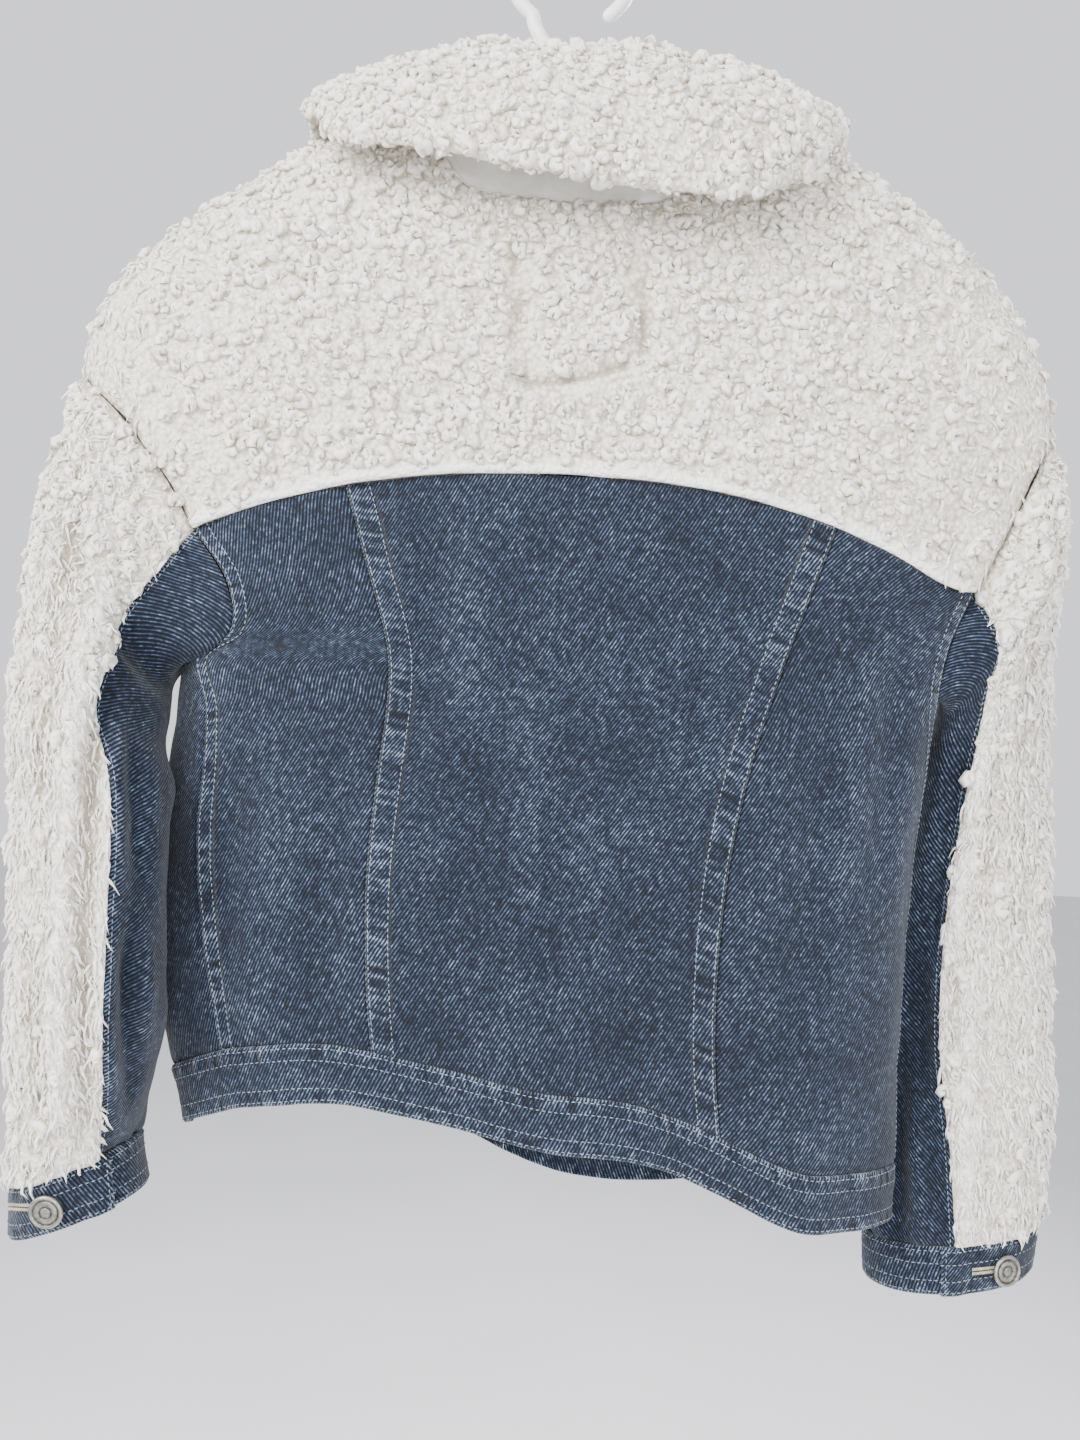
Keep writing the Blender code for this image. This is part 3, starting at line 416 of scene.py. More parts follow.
def lower_angles(height, low, high):
    left, princess_left, princess_right, right = seam_angles(height)
    placket_right, placket_left = placket_angles(height)
    arm_right = np.full_like(height, 180 + ARMHOLE_LOW[0][3])
    arm_left = np.full_like(height, 360 - ARMHOLE_LOW[0][3])
    edges = [left, princess_left, princess_right, right, arm_right, placket_right, placket_left]
    edges += [arm_left, left + 360]
    spans = (*BACK_SPANS, BOTTOM_SEGMENTS, FRONT_SPAN, PLACKET_SPAN, FRONT_SPAN, BOTTOM_SEGMENTS)
    return spread(edges, spans)[:, low:high]


def hem_height(angle):
    return smooth(np.asarray(angle) % 360, column(HEM, 0), column(HEM, 1))


def lower_grid(band):
    """The ring from the hem to the waistband's top, or from there to the underarm."""
    hem = hem_height(lower_angles(np.array([-0.660]), 0, ROUND_COUNT + 1)[0])
    if band:
        heights = hem + WAISTBAND_HEIGHT * np.linspace(0, 1, WAIST_ROWS + 1)[:, None]
    else:
        top = hem + WAISTBAND_HEIGHT
        heights = top + (UNDERARM - top) * np.linspace(0, 1, LOWER_ROWS + 1)[:, None]
    angles = np.empty_like(heights)
    for n in range(ROUND_COUNT + 1):
        angles[:, n] = lower_angles(heights[:, n], n, n + 1)[:, 0]
    return angles, body_point(angles, heights)


def armhole_angles(heights, arm, front):
    count = FRONT_SPAN * 2 + PLACKET_SPAN if front else BACK_COUNT
    result = np.empty((len(heights), count + 1))
    for n in range(count + 1):
        at = heights[:, min(n, heights.shape[1] - 1)]
        if front:
            right, left = placket_angles(at)
            edges = [180 + arm[2], right, left, 360 - arm[2]]
            spans = (FRONT_SPAN, PLACKET_SPAN, FRONT_SPAN)
        else:
            _, princess_left, princess_right, _ = seam_angles(at)
            edges = [arm[0], princess_left, princess_right, 180 - arm[1]]
            spans = BACK_SPANS
        result[:, n] = spread(edges, spans)[:, n]
    return result


def armhole_grid(front):
    """From the underarm up to the yoke's seam."""
    share = column(ARMHOLE_LOW, 0)
    arm = [column(ARMHOLE_LOW, n) for n in (1, 2, 3)]
    heights = (UNDERARM + share * (YOKE_FRONT - UNDERARM))[:, None]
    for _ in range(3):
        angles = armhole_angles(heights, arm, front)
        top = yoke_height(body_point(angles[-1], heights[-1])[..., 0] - SLID, front)
        heights = UNDERARM + share[:, None] * (top - UNDERARM)
    angles = armhole_angles(heights, arm, front)
    return angles, heights, body_point(angles, heights)


def yoke_grid(seam_angle, seam_height, front):
    """From the yoke's seam up to the neckline and shoulder."""
    share = column(ARMHOLE_HIGH, 0)
    if front:
        first, last = 180 + column(ARMHOLE_HIGH, 3), 360 - column(ARMHOLE_HIGH, 3)
    else:
        first, last = column(ARMHOLE_HIGH, 1), 180 - column(ARMHOLE_HIGH, 2)
    across = (seam_angle - seam_angle[0]) / (seam_angle[-1] - seam_angle[0])
    angles = first[:, None] + (last - first)[:, None] * across
    heights = seam_height + share[:, None] * (neck_height(angles[-1], front) - seam_height)
    if front:
        stops = (0, FRONT_SPAN, FRONT_SPAN + PLACKET_SPAN, 2 * FRONT_SPAN + PLACKET_SPAN)
        for n, side in ((stops[1], 0), (stops[2], 1)):
            angles[:, n] = placket_angles(heights[:, n])[side]
        for low, high in zip(stops[:-1], stops[1:]):
            inner = (across[low : high + 1] - across[low]) / (across[high] - across[low])
            angles[:, low : high + 1] = angles[:, [low]] + (angles[:, [high]] - angles[:, [low]]) * inner
        heights = seam_height + share[:, None] * (neck_height(angles[-1], front) - seam_height)
    return body_point(angles, heights)


def sleeve_ring(row, count):
    out_x, out_z, in_x, in_z, middle_y, depth, denim_back, denim_front = row
    seam_back = math.degrees(math.acos(2 * denim_back - 1))
    seam_front = math.degrees(math.acos(2 * denim_front - 1))
    half = UPPER_SEGMENTS // 2
    angles = np.concatenate(
        [
            np.linspace(0, seam_back, half + 1)[:-1],
            np.linspace(seam_back, 360 - seam_front, count - UPPER_SEGMENTS + 1)[:-1],
            np.linspace(360 - seam_front, 360, half + 1)[:-1],
        ]
    )
    c, s = np.cos(np.radians(angles)), np.sin(np.radians(angles))
    x = (out_x + in_x) / 2 + c * (out_x - in_x) / 2
    z = (out_z + in_z) / 2 + c * (out_z - in_z) / 2
    return np.stack([SLID + x, middle_y + depth * s, z], axis=-1)


def armhole_loop(side, lower, back, front):
    """The armhole's points, from the shoulder's tip down the back, under the arm and up the front."""
    left = side == "left"
    back_edge, front_edge = (0, -1) if left else (-1, 0)
    under = range(ROUND_COUNT, LEFT_ARM - 1, -1) if left else range(BACK_COUNT, RIGHT_FRONT + 1)
    tip = YOKE_ROW + SHOULDER_ROW
    loop = [back[row, back_edge] for row in range(tip, ARM_ROW, -1)]
    loop += [lower[-1, number] for number in under]
    loop += [front[row, front_edge] for row in range(ARM_ROW + 1, tip)]
    return np.array(loop)


def sleeve_block(table, loop):
    """The sleeve's coarse points, ring by ring from the armhole down, in the order of its loop."""
    rings = np.stack([loop] + [sleeve_ring(row, len(loop)) for row in table])
    last = len(rings) - 1
    steps = np.concatenate([np.arange(0, last - 1, 0.5), [last - 1, last - 0.5, last]])
    points = smooth(steps, np.arange(len(rings)), rings)
    points[0] += unit(points[1] - points[0]) * ARMHOLE_GAP
    return points


def neckline(back, front):
    right, left = front[-1, FRONT_SPAN:0:-1], front[-1, : FRONT_SPAN + PLACKET_SPAN : -1]
    last = front[-1, FRONT_SPAN + PLACKET_SPAN :][:1]
    points = np.concatenate([right, back[-1, ::-1], left[1:], last])
    turns = np.degrees(np.arcsin(np.clip((points[:, 0] - SLID) / NECK_HALF_WIDTH, -1, 1)))
    turns[: len(right)] = -180 - turns[: len(right)]
    turns[len(right) + BACK_COUNT + 1 :] = 180 - turns[len(right) + BACK_COUNT + 1 :]
    return points, turns


def collar_blocks(back, front):
    """The coarse points of the collar's fall, from its fold to its edge, and of the stand inside it."""
    neck, turns = neckline(back, front)
    size, side = np.abs(turns), np.sign(turns)
    lines = []
    for first in (1, 4):
        x, y, z = (smooth(size, column(COLLAR, 0), column(COLLAR, first + n)) for n in range(3))
        shift = COLLAR_TWIST if first == 4 else 0
        lines.append(np.stack([SLID + shift + x * side, y, z], axis=-1))
    fold, edge = lines
    behind = edge[:, 1] > 0
    for middle, width, lift in FALL_EDGE_LIFTS:
        edge[:, 2] += lift * np.exp(-(((edge[:, 0] - middle) / width) ** 2)) * behind
    outward = unit((edge - fold) * np.array([1.0, 1.0, 0.0]))
    share = np.linspace(0, 1, FALL_ROWS + 1)[:, None, None]
    crown = FALL_CROWN * np.sin(math.pi * share) * outward
    lift = 0.35 * FALL_CROWN * np.sin(math.pi * share) * np.array([0, 0, 1.0])
    fall = fold + (edge - fold) * share + crown + lift
    foot, top = neck + np.array([0, 0, STAND_LIFT]), fold - outward * STAND_INSET
    share = np.linspace(0, 1, 4)[:, None, None]
    return fall, foot + (top - foot) * share


def coarse_jacket():
    """Every coarse block of the jacket, by name. Rows go up the body, or down a sleeve or the collar."""
    _, lower = lower_grid(False)
    _, band = lower_grid(True)
    blocks = {"lower": lower, "band": band}
    for name, is_front in (("back", False), ("front", True)):
        angles, heights, arm = armhole_grid(is_front)
        yoke = yoke_grid(angles[-1], heights[-1], is_front)
        columns = slice(RIGHT_FRONT, LEFT_ARM + 1) if is_front else slice(0, BACK_COUNT + 1)
        blocks[name] = np.concatenate([lower[:, columns], arm[1:], yoke[1:]])
    for side, table in (("left", SLEEVE_LEFT), ("right", SLEEVE_RIGHT)):
        loop = armhole_loop(side, lower, blocks["back"], blocks["front"])
        blocks["sleeve_" + side] = sleeve_block(table, loop)
    blocks["fall"], blocks["stand"] = collar_blocks(blocks["back"], blocks["front"])
    return blocks


BLOCKS = {}


def block(name):
    if not BLOCKS:
        BLOCKS.update(coarse_jacket())
    return BLOCKS[name]


# ---- fine cloth ----------------------------------------------------------------------------
def patch(coarse, rows, columns):
    """The surface of a coarse block at any row and column numbers between its own."""
    along = smooth(rows, np.arange(coarse.shape[0]), coarse)
    across = smooth(columns, np.arange(coarse.shape[1]), np.swapaxes(along, 0, 1))
    return np.swapaxes(across, 0, 1)


def places(low, high, count, crowd=0.6):
    """Count steps from low to high, closer together at both ends, just short of the seams."""
    t = np.linspace(0, 1, count + 1)
    t = t - crowd * np.sin(2 * math.pi * t) / (2 * math.pi)
    return low + SEAM_SHARE + (high - low - 2 * SEAM_SHARE) * t


class Cloth:
    """A piece of cloth as a fine grid: points, normals, flat coordinates and distances from its edges."""

    def __init__(self, points, outward=None):
        self.points = points
        across, along = np.gradient(points, axis=1), np.gradient(points, axis=0)
        self.normals = unit(np.cross(across, along))
        if outward is not None and float(np.sum(self.normals * outward, axis=-1).mean()) < 0:
            self.normals = -self.normals
        self.mask = np.ones((points.shape[0] - 1, points.shape[1] - 1), bool)
        steps = np.linalg.norm(np.diff(points, axis=1), axis=-1)
        total = np.concatenate([np.zeros((len(points), 1)), np.cumsum(steps, axis=1)], axis=1)
        rises = np.linalg.norm(np.diff(points, axis=0), axis=-1)
        climb = np.concatenate([np.zeros((1, points.shape[1])), np.cumsum(rises, axis=0)])
        middle = points.shape[1] // 2
        self.u = total - total[:, [middle]]
        self.v = np.repeat(climb[:, [middle]], points.shape[1], axis=1)
        self.start, self.end = total, total[:, [-1]] - total
        self.foot, self.head = climb, climb[[-1]] - climb
        self.relief = np.zeros(points.shape[:2])
        self.wear = np.zeros(points.shape[:2])
        self.seam = np.zeros(points.shape[:2])
        self.run = np.zeros(points.shape[:2])
        self.turn = 0.0

    def felled(self, distance, along, width=0.0125, rise=0.0007):
        """A felled seam beside an edge: two more layers, sewn down, roped between its stitch rows."""
        step = 1 - ease(distance, width - 0.0006, width + 0.0010)
        groove = np.exp(-(((distance - width) / 0.0009) ** 2))
        rounded = np.exp(-((distance / 0.0007) ** 2))
        self.relief += rise * step - 0.0003 * groove - 0.0004 * rounded
        closeness = step * ease(distance, 0.0, 0.0015)
        self.run = np.where(closeness > self.seam, along, self.run)
        self.seam = np.maximum(self.seam, closeness)
        self.wear = np.maximum(self.wear, np.exp(-distance / 0.0012) + 0.20 * step)

    def under(self, distance, drop=0.0008):
        """An edge that goes in under its neighbour."""
        self.relief -= drop * np.exp(-distance / 0.0018)

    def worn(self, distance, amount=0.8, width=0.0012):
        self.wear = np.maximum(self.wear, amount * np.exp(-distance / width))

    def roped(self, distance, along, width, amount=1.0):
        """Puckers beside a row of stitches, which draw the cloth up."""
        closeness = amount * (1 - ease(distance, 0.3 * width, width))
        self.run = np.where(closeness > self.seam, along, self.run)
        self.seam = np.maximum(self.seam, closeness)

    def crease(self, rows, side=None):
        x, z = self.points[..., 0], self.points[..., 2]
        facing = 1.0 if side is None else ease(side * self.normals[..., 1], 0.15, 0.6)
        for ax, az, bx, bz, width, depth in rows:
            dx, dz = bx - ax, bz - az
            t = ((x - ax) * dx + (z - az) * dz) / (dx * dx + dz * dz)
            inside = np.clip(t, 0, 1)
            off = np.hypot(x - ax - inside * dx, z - az - inside * dz)
            taper = np.clip(np.minimum(t + 0.12, 1.12 - t) / 0.30, 0, 1)
            trough = np.exp(-((off / width) ** 2)) - 0.45 * np.exp(
                -(((off - 2.1 * width) / (1.1 * width)) ** 2)
            )
            trough = trough * taper * taper * (3 - 2 * taper) * facing
            self.relief -= depth * trough
            # The same trough darkens the mark that the shaders read, as painted shade; the low ridges beside
            # it come out paler, partly as the wash's wear on them.
            self.wear = self.wear - 200 * depth * trough

    def surface(self, out):
        return self.points + self.normals * (out + self.relief)[..., None]

    def turned_over(self):
        """Whether the grid's own turn, from its rows and columns, faces in."""
        across, along = np.gradient(self.points, axis=1), np.gradient(self.points, axis=0)
        return float(np.sum(np.cross(across, along) * self.normals)) < 0


def mesh_piece(name, points, quads, look, marks=(), cloth=None):
    """A mesh object from quads, with numbers kept on its points and its flat coordinates as a UV map."""
    shape = quads.shape
    used, quads = np.unique(quads, return_inverse=True)
    quads = quads.reshape(shape)
    data = bpy.data.meshes.new(name)
    data.from_pydata(points[used].tolist(), [], quads.tolist())
    for label, values in dict(marks).items():
        values = values[used]
        if values.ndim == 1:
            data.attributes.new(label, "FLOAT", "POINT").data.foreach_set("value", values.astype(np.float32))
        else:
            data.attributes.new(label, "FLOAT_VECTOR", "POINT").data.foreach_set(
                "vector", values.astype(np.float32).ravel()
            )
    if cloth is not None:
        layer = data.uv_layers.new(name="cloth")
        layer.data.foreach_set("uv", cloth[used][quads.ravel()].astype(np.float32).ravel())
    data.shade_smooth()
    data.materials.append(look)
    data.update()
    obj = bpy.data.objects.new(name, data)
    bpy.context.scene.collection.objects.link(obj)
    return obj


def grid_quads(mask, flip):
    rows, columns = mask.shape[0] + 1, mask.shape[1] + 1
    number = np.arange(rows * columns).reshape(rows, columns)
    quads = np.stack([number[:-1, :-1], number[:-1, 1:], number[1:, 1:], number[1:, :-1]], axis=-1)[mask]
    return quads[:, ::-1] if flip else quads


def shell(name, cloth, out, into, look):
    """The cloth as a closed wall, from out above its surface to into below it."""
    outer, inner = cloth.surface(out), cloth.surface(-into)
    quads = grid_quads(cloth.mask, cloth.turned_over())
    size = cloth.points.shape[0] * cloth.points.shape[1]
    sides = np.concatenate([quads[:, [n, (n + 1) % 4]] for n in range(4)])
    open_side = ~np.isin(sides[:, 0] * size + sides[:, 1], sides[:, 1] * size + sides[:, 0])
    edge = sides[open_side]
    rim = np.stack([edge[:, 1], edge[:, 0], edge[:, 0] + size, edge[:, 1] + size], axis=-1)
    faces = np.concatenate([quads, quads[:, ::-1] + size, rim])
    points = np.concatenate([outer.reshape(-1, 3), inner.reshape(-1, 3)])
    c, s = math.cos(cloth.turn), math.sin(cloth.turn)
    flat = np.stack([cloth.u * c + cloth.v * s, cloth.v * c - cloth.u * s], axis=-1).reshape(-1, 2)
    marks = {"wear": cloth.wear, "seam": cloth.seam, "run": cloth.run}
    marks = {label: np.tile(values.ravel(), 2) for label, values in marks.items()}
    return mesh_piece(name + "_cloth", points, faces, look, marks, np.tile(flat, (2, 1)))


def declare(piece, node):
    """Says what a piece of cloth stands for, and the size it was cut to."""
    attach(piece, "root")
    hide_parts(node)


def part_of(piece, slot, *nodes):
    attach(piece, "root")
    if nodes:
        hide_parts(*nodes)
    return piece


# ---- nodes ---------------------------------------------------------------------------------
TWILL_SLOPE = -0.577  # how far a rib moves sideways for each metre down the cloth
WEAVE_PITCH = 0.0008  # between the cotton's threads, drawn coarser than real
MATH = "ShaderNodeMath"
TIMES, PLUS, LESS, TIMES_PLUS = (
    {"operation": name} for name in ("MULTIPLY", "ADD", "SUBTRACT", "MULTIPLY_ADD")
)


def add(tree, kind, sets=None, inputs=None):
    """Adds a node with its settings, and its inputs as values or as links from other nodes' sockets.

    A colour ramp's setting is its stops, each a place and a colour.
    """
    node = tree.nodes.new(kind)
    for key, value in (sets or {}).items():
        if key != "stops":
            setattr(node, key, value)
            continue
        elements = node.color_ramp.elements
        while len(elements) < len(value):
            elements.new(0.5)
        for element, (place, colour) in zip(elements, value):
            element.position = place
            element.color = colour
    for key, value in (inputs or {}).items():
        if isinstance(value, bpy.types.NodeSocket):
            tree.links.new(value, node.inputs[key])
        else:
            node.inputs[key].default_value = value
    return node


def start_material(name, **shader):
    """A new material, its tree and its shader, whose own sockets hold what is the same all over."""
    made = bpy.data.materials.new(name)
    made.use_nodes = True
    tree = made.node_tree
    node = tree.nodes["Principled BSDF"]
    for key, value in shader.items():
        node.inputs[key.replace("_", " ")].default_value = value
    return made, tree, node


LOOKS = {}


def look(name):
    if name not in LOOKS:
        LOOKS[name] = MAKERS[name]()
    return LOOKS[name]


def marks_on(tree, *names):
    """What the cloth's points say: each name's number as a socket."""
    return [add(tree, "ShaderNodeAttribute", {"attribute_name": name}).outputs["Fac"] for name in names]


def denim_twill():
    """Stonewashed cotton denim, a 3/1 twill with indigo warp and pale weft: a steep fine rib, faded in
    cloudy patches and worn nearly white where it is folded and sewn thick. It has no gloss."""
    sizes, colours = bpy.context.scene.jacket_sizes, bpy.context.scene.jacket_colours
    made, tree, shader = start_material(
        "stonewashed_denim_twill", Roughness=0.88, Sheen_Weight=0.12, Sheen_Roughness=0.5
    )
    shader.inputs["Specular IOR Level"].default_value = 0.25
    cloth = add(tree, "ShaderNodeUVMap", {"uv_map": "cloth"}).outputs[0]
    parts = add(tree, "ShaderNodeSeparateXYZ", None, {0: cloth})
    u, v = parts.outputs[0], parts.outputs[1]
    wander = add(
        tree, "ShaderNodeTexNoise", {"noise_dimensions": "2D"},
        {"Vector": cloth, "Scale": 130.0, "Detail": 3.0},
    )
    slope = add(tree, MATH, TIMES_PLUS, {0: v, 1: TWILL_SLOPE, 2: u}).outputs[0]
    cycle = add(tree, MATH, {"operation": "DIVIDE"}, {0: slope, 1: sizes.twill_pitch}).outputs[0]
    cycle = add(tree, MATH, TIMES_PLUS, {0: wander.outputs[0], 1: 0.35, 2: cycle}).outputs[0]
    rib = add(
        tree, MATH, {"operation": "SINE"}, {0: add(tree, MATH, TIMES, {0: cycle, 1: 2 * math.pi}).outputs[0]}
    ).outputs[0]
    # Slubs: each rib's yarn is uneven every few millimetres along it.
    along = add(tree, MATH, TIMES, {0: v, 1: 420.0}).outputs[0]
    yarn = add(tree, "ShaderNodeCombineXYZ", None, {0: cycle, 1: along})
    slub = add(
        tree, "ShaderNodeTexNoise", {"noise_dimensions": "2D"},
        {"Vector": yarn.outputs[0], "Scale": 0.9, "Detail": 2.0},
    )
    # Wash clouds of 3 to 7 mm, and broad ones of 30 to 60 mm.
    cloud = add(tree, "ShaderNodeTexNoise", None, {"Scale": 330.0, "Detail": 4.0, "Roughness": 0.72})
    broad = add(tree, "ShaderNodeTexNoise", None, {"Scale": 21.0, "Detail": 3.0, "Roughness": 0.55})
    place = add(tree, "ShaderNodeTexCoord").outputs["Object"]
    for node in (cloud, broad):
        tree.links.new(place, node.inputs["Vector"])
    wear, seam, run = marks_on(tree, "wear", "seam", "run")
    # Ropes: the puckers between two stitch rows, about 4 mm apart, worn on their tops.
    rope_at = add(
        tree, "ShaderNodeCombineXYZ", None,
        {
            0: add(tree, MATH, TIMES, {0: run, 1: 260.0}).outputs[0],
            1: add(tree, MATH, TIMES, {0: seam, 1: 0.7}).outputs[0],
        },
    )
    rope = add(
        tree, "ShaderNodeTexNoise", {"noise_dimensions": "2D"},
        {"Vector": rope_at.outputs[0], "Scale": 1.0, "Detail": 1.5},
    )
    roping = add(
        tree, MATH, TIMES, {0: add(tree, MATH, LESS, {0: rope.outputs[0], 1: 0.5}).outputs[0], 1: seam}
    ).outputs[0]
    fade = 0.36
    for noise, share in ((cloud, 1.35), (broad, 0.40), (slub, 0.50)):
        swing = add(tree, MATH, LESS, {0: noise.outputs[0], 1: 0.5}).outputs[0]
        fade = add(tree, MATH, TIMES_PLUS, {0: swing, 1: share, 2: fade}).outputs[0]
    # The third part lightens worn edges and seams; it also carries painted shade in crease troughs.
    for part, share in ((rib, 0.36), (roping, 0.95), (wear, 0.22)):
        fade = add(tree, MATH, TIMES_PLUS, {0: part, 1: share, 2: fade}).outputs[0]
    shades = [getattr(colours, "denim_" + name) for name in ("deep", "dark", "mid", "pale", "worn")]
    stops = tuple(zip((0.0, 0.34, 0.58, 0.82, 1.0), shades))
    tint = add(tree, "ShaderNodeValToRGB", {"stops": stops}, {"Fac": fade}).outputs["Color"]
    tree.links.new(tint, shader.inputs["Base Color"])
    ribs = add(tree, MATH, TIMES_PLUS, {0: slub.outputs[0], 1: 0.8, 2: rib}).outputs[0]
    fine = add(tree, "ShaderNodeBump", None, {"Strength": 0.9, "Distance": 0.00016, "Height": ribs})
    ropes = add(
        tree, "ShaderNodeBump", None,
        {"Strength": 1.0, "Distance": 0.0028, "Height": roping, "Normal": fine.outputs[0]},
    )
    tree.links.new(ropes.outputs[0], shader.inputs["Normal"])
    return made


def sherpa_locks():
    """Acrylic sherpa pile, brushed and curled: matt off-white, warmer and shaded towards its roots, and
    its curls let a little light through."""
    colours = bpy.context.scene.jacket_colours
    made, tree, shader = start_material(
        "curled_acrylic_sherpa", Roughness=0.9, Sheen_Weight=0.35, Sheen_Roughness=0.6
    )
    shader.inputs["Specular IOR Level"].default_value = 0.2
    shader.inputs["Subsurface Weight"].default_value = 0.25
    shader.inputs["Subsurface Radius"].default_value = (1.0, 0.9, 0.8)
    shader.inputs["Subsurface Scale"].default_value = 0.003
    tip, tone, shag = marks_on(tree, "tip", "tone", "shag")
    place = add(tree, "ShaderNodeTexCoord").outputs["Object"]
    # Painted shade: the tip mark runs from the root colour low down to the tip colour high up; the random
    # tone is added to it.
    height = add(tree, MATH, TIMES_PLUS, {0: tone, 1: 0.45, 2: tip}).outputs[0]
    # Painted shade in the partings between tufts.
    parting_shade = add(tree, MATH, TIMES_PLUS, {0: parting(tree, place, shag), 1: 0.40, 2: -0.34}).outputs[0]
    height = add(tree, MATH, PLUS, {0: height, 1: parting_shade}).outputs[0]
    tint = add(
        tree, "ShaderNodeValToRGB",
        {"stops": ((0.05, colours.sherpa_root_shade), (0.40, colours.sherpa_middle), (0.90, colours.sherpa_tip))},
        {"Fac": height},
    ).outputs["Color"]
    tree.links.new(tint, shader.inputs["Base Color"])
    fibre = add(tree, "ShaderNodeTexNoise", None, {"Vector": place, "Scale": 1700.0, "Detail": 2.0})
    bump = add(
        tree, "ShaderNodeBump", None, {"Strength": 0.6, "Distance": 0.0007, "Height": fibre.outputs[0]}
    )
    tree.links.new(bump.outputs[0], shader.inputs["Normal"])
    return made


def sherpa_ground():
    """The sherpa's packed nap on its knitted ground, seen only between the curls: matt, warm, shadowed."""
    colours = bpy.context.scene.jacket_colours
    made, tree, shader = start_material(
        "sherpa_knitted_ground", Roughness=0.95, Sheen_Weight=0.3, Sheen_Roughness=0.6
    )
    shader.inputs["Specular IOR Level"].default_value = 0.15
    place = add(tree, "ShaderNodeTexCoord").outputs["Object"]
    tufts = add(tree, "ShaderNodeTexVoronoi", None, {"Vector": place, "Scale": 330.0, "Randomness": 1.0})
    fibre = add(tree, "ShaderNodeTexNoise", None, {"Vector": place, "Scale": 900.0, "Detail": 3.0})
    height = add(
        tree, MATH, TIMES_PLUS,
        {0: fibre.outputs[0], 1: 0.6, 2: add(tree, MATH, TIMES, {0: tufts.outputs[0], 1: -1.0}).outputs[0]},
    ).outputs[0]
    shade_and_wear_mark = add(tree, "ShaderNodeAttribute", {"attribute_name": "wear"}).outputs["Fac"]
    # Painted shade: the ground is palest at the middle of each Voronoi lump and darker towards its rim, and
    # darker still where the mark read above is low, as in stitched grooves, sunk seams and creases; it is
    # paler where that mark is high.
    depth = add(tree, MATH, TIMES_PLUS, {0: shade_and_wear_mark, 1: -0.9, 2: tufts.outputs[0]}).outputs[0]
    tint = add(
        tree, "ShaderNodeValToRGB",
        {"stops": ((0.0, colours.sherpa_tip), (0.45, colours.sherpa_middle), (1.0, colours.sherpa_root_shade))},
        {"Fac": depth},
    ).outputs["Color"]
    tree.links.new(tint, shader.inputs["Base Color"])
    bump = add(tree, "ShaderNodeBump", None, {"Strength": 1.0, "Distance": 0.0016, "Height": height})
    tree.links.new(bump.outputs[0], shader.inputs["Normal"])
    return made


def cotton_plain():
    """Bleached cotton in plain weave: a flat matt white with a fine square grid of threads, 0.8 mm apart
    here, which is coarser than real so that it shows."""
    colours = bpy.context.scene.jacket_colours
    made, tree, shader = start_material("plain_weave_cotton", Roughness=0.85, Sheen_Weight=0.1)
    shader.inputs["Specular IOR Level"].default_value = 0.25
    cloth = add(tree, "ShaderNodeUVMap", {"uv_map": "cloth"}).outputs[0]
    parts = add(tree, "ShaderNodeSeparateXYZ", None, {0: cloth})
    waves = [
        add(
            tree, MATH, {"operation": "SINE"},
            {0: add(tree, MATH, TIMES, {0: parts.outputs[n], 1: 2 * math.pi / WEAVE_PITCH}).outputs[0]},
        ).outputs[0] for n in (0, 1)
    ]
    weave = add(tree, MATH, TIMES, {0: waves[0], 1: waves[1]}).outputs[0]
    uneven = add(
        tree, "ShaderNodeTexNoise", {"noise_dimensions": "2D"},
        {"Vector": cloth, "Scale": 90.0, "Detail": 3.0},
    )
    shade = add(tree, MATH, TIMES_PLUS, {0: weave, 1: 0.12, 2: uneven.outputs[0]}).outputs[0]
    tint = add(
        tree, "ShaderNodeValToRGB", {"stops": ((0.2, colours.cotton_shade), (0.7, colours.cotton))},
        {"Fac": shade},
    ).outputs["Color"]
    tree.links.new(tint, shader.inputs["Base Color"])
    bump = add(tree, "ShaderNodeBump", None, {"Strength": 0.5, "Distance": 0.0001, "Height": weave})
    tree.links.new(bump.outputs[0], shader.inputs["Normal"])
    return made


def sewing_thread(name, colour):
    """Spun polyester core thread: matt, a little lighter than the denim, twisted every 0.9 mm."""
    made, tree, shader = start_material(name, Roughness=0.7, Sheen_Weight=0.1)
    shader.inputs["Specular IOR Level"].default_value = 0.3
    place = add(tree, "ShaderNodeTexCoord").outputs["Object"]
    uneven = add(tree, "ShaderNodeTexNoise", None, {"Vector": place, "Scale": 260.0, "Detail": 2.0})
    dull = tuple(0.55 * c for c in colour[:3]) + (1.0,)
    tint = add(
        tree, "ShaderNodeValToRGB", {"stops": ((0.3, dull), (0.65, tuple(colour)))},
        {"Fac": uneven.outputs[0]},
    ).outputs["Color"]
    tree.links.new(tint, shader.inputs["Base Color"])
    twist = add(tree, "ShaderNodeTexNoise", None, {"Vector": place, "Scale": 1100.0, "Detail": 0.0})
    bump = add(
        tree, "ShaderNodeBump", None, {"Strength": 0.5, "Distance": 0.0001, "Height": twist.outputs[0]}
    )
    tree.links.new(bump.outputs[0], shader.inputs["Normal"])
    return made


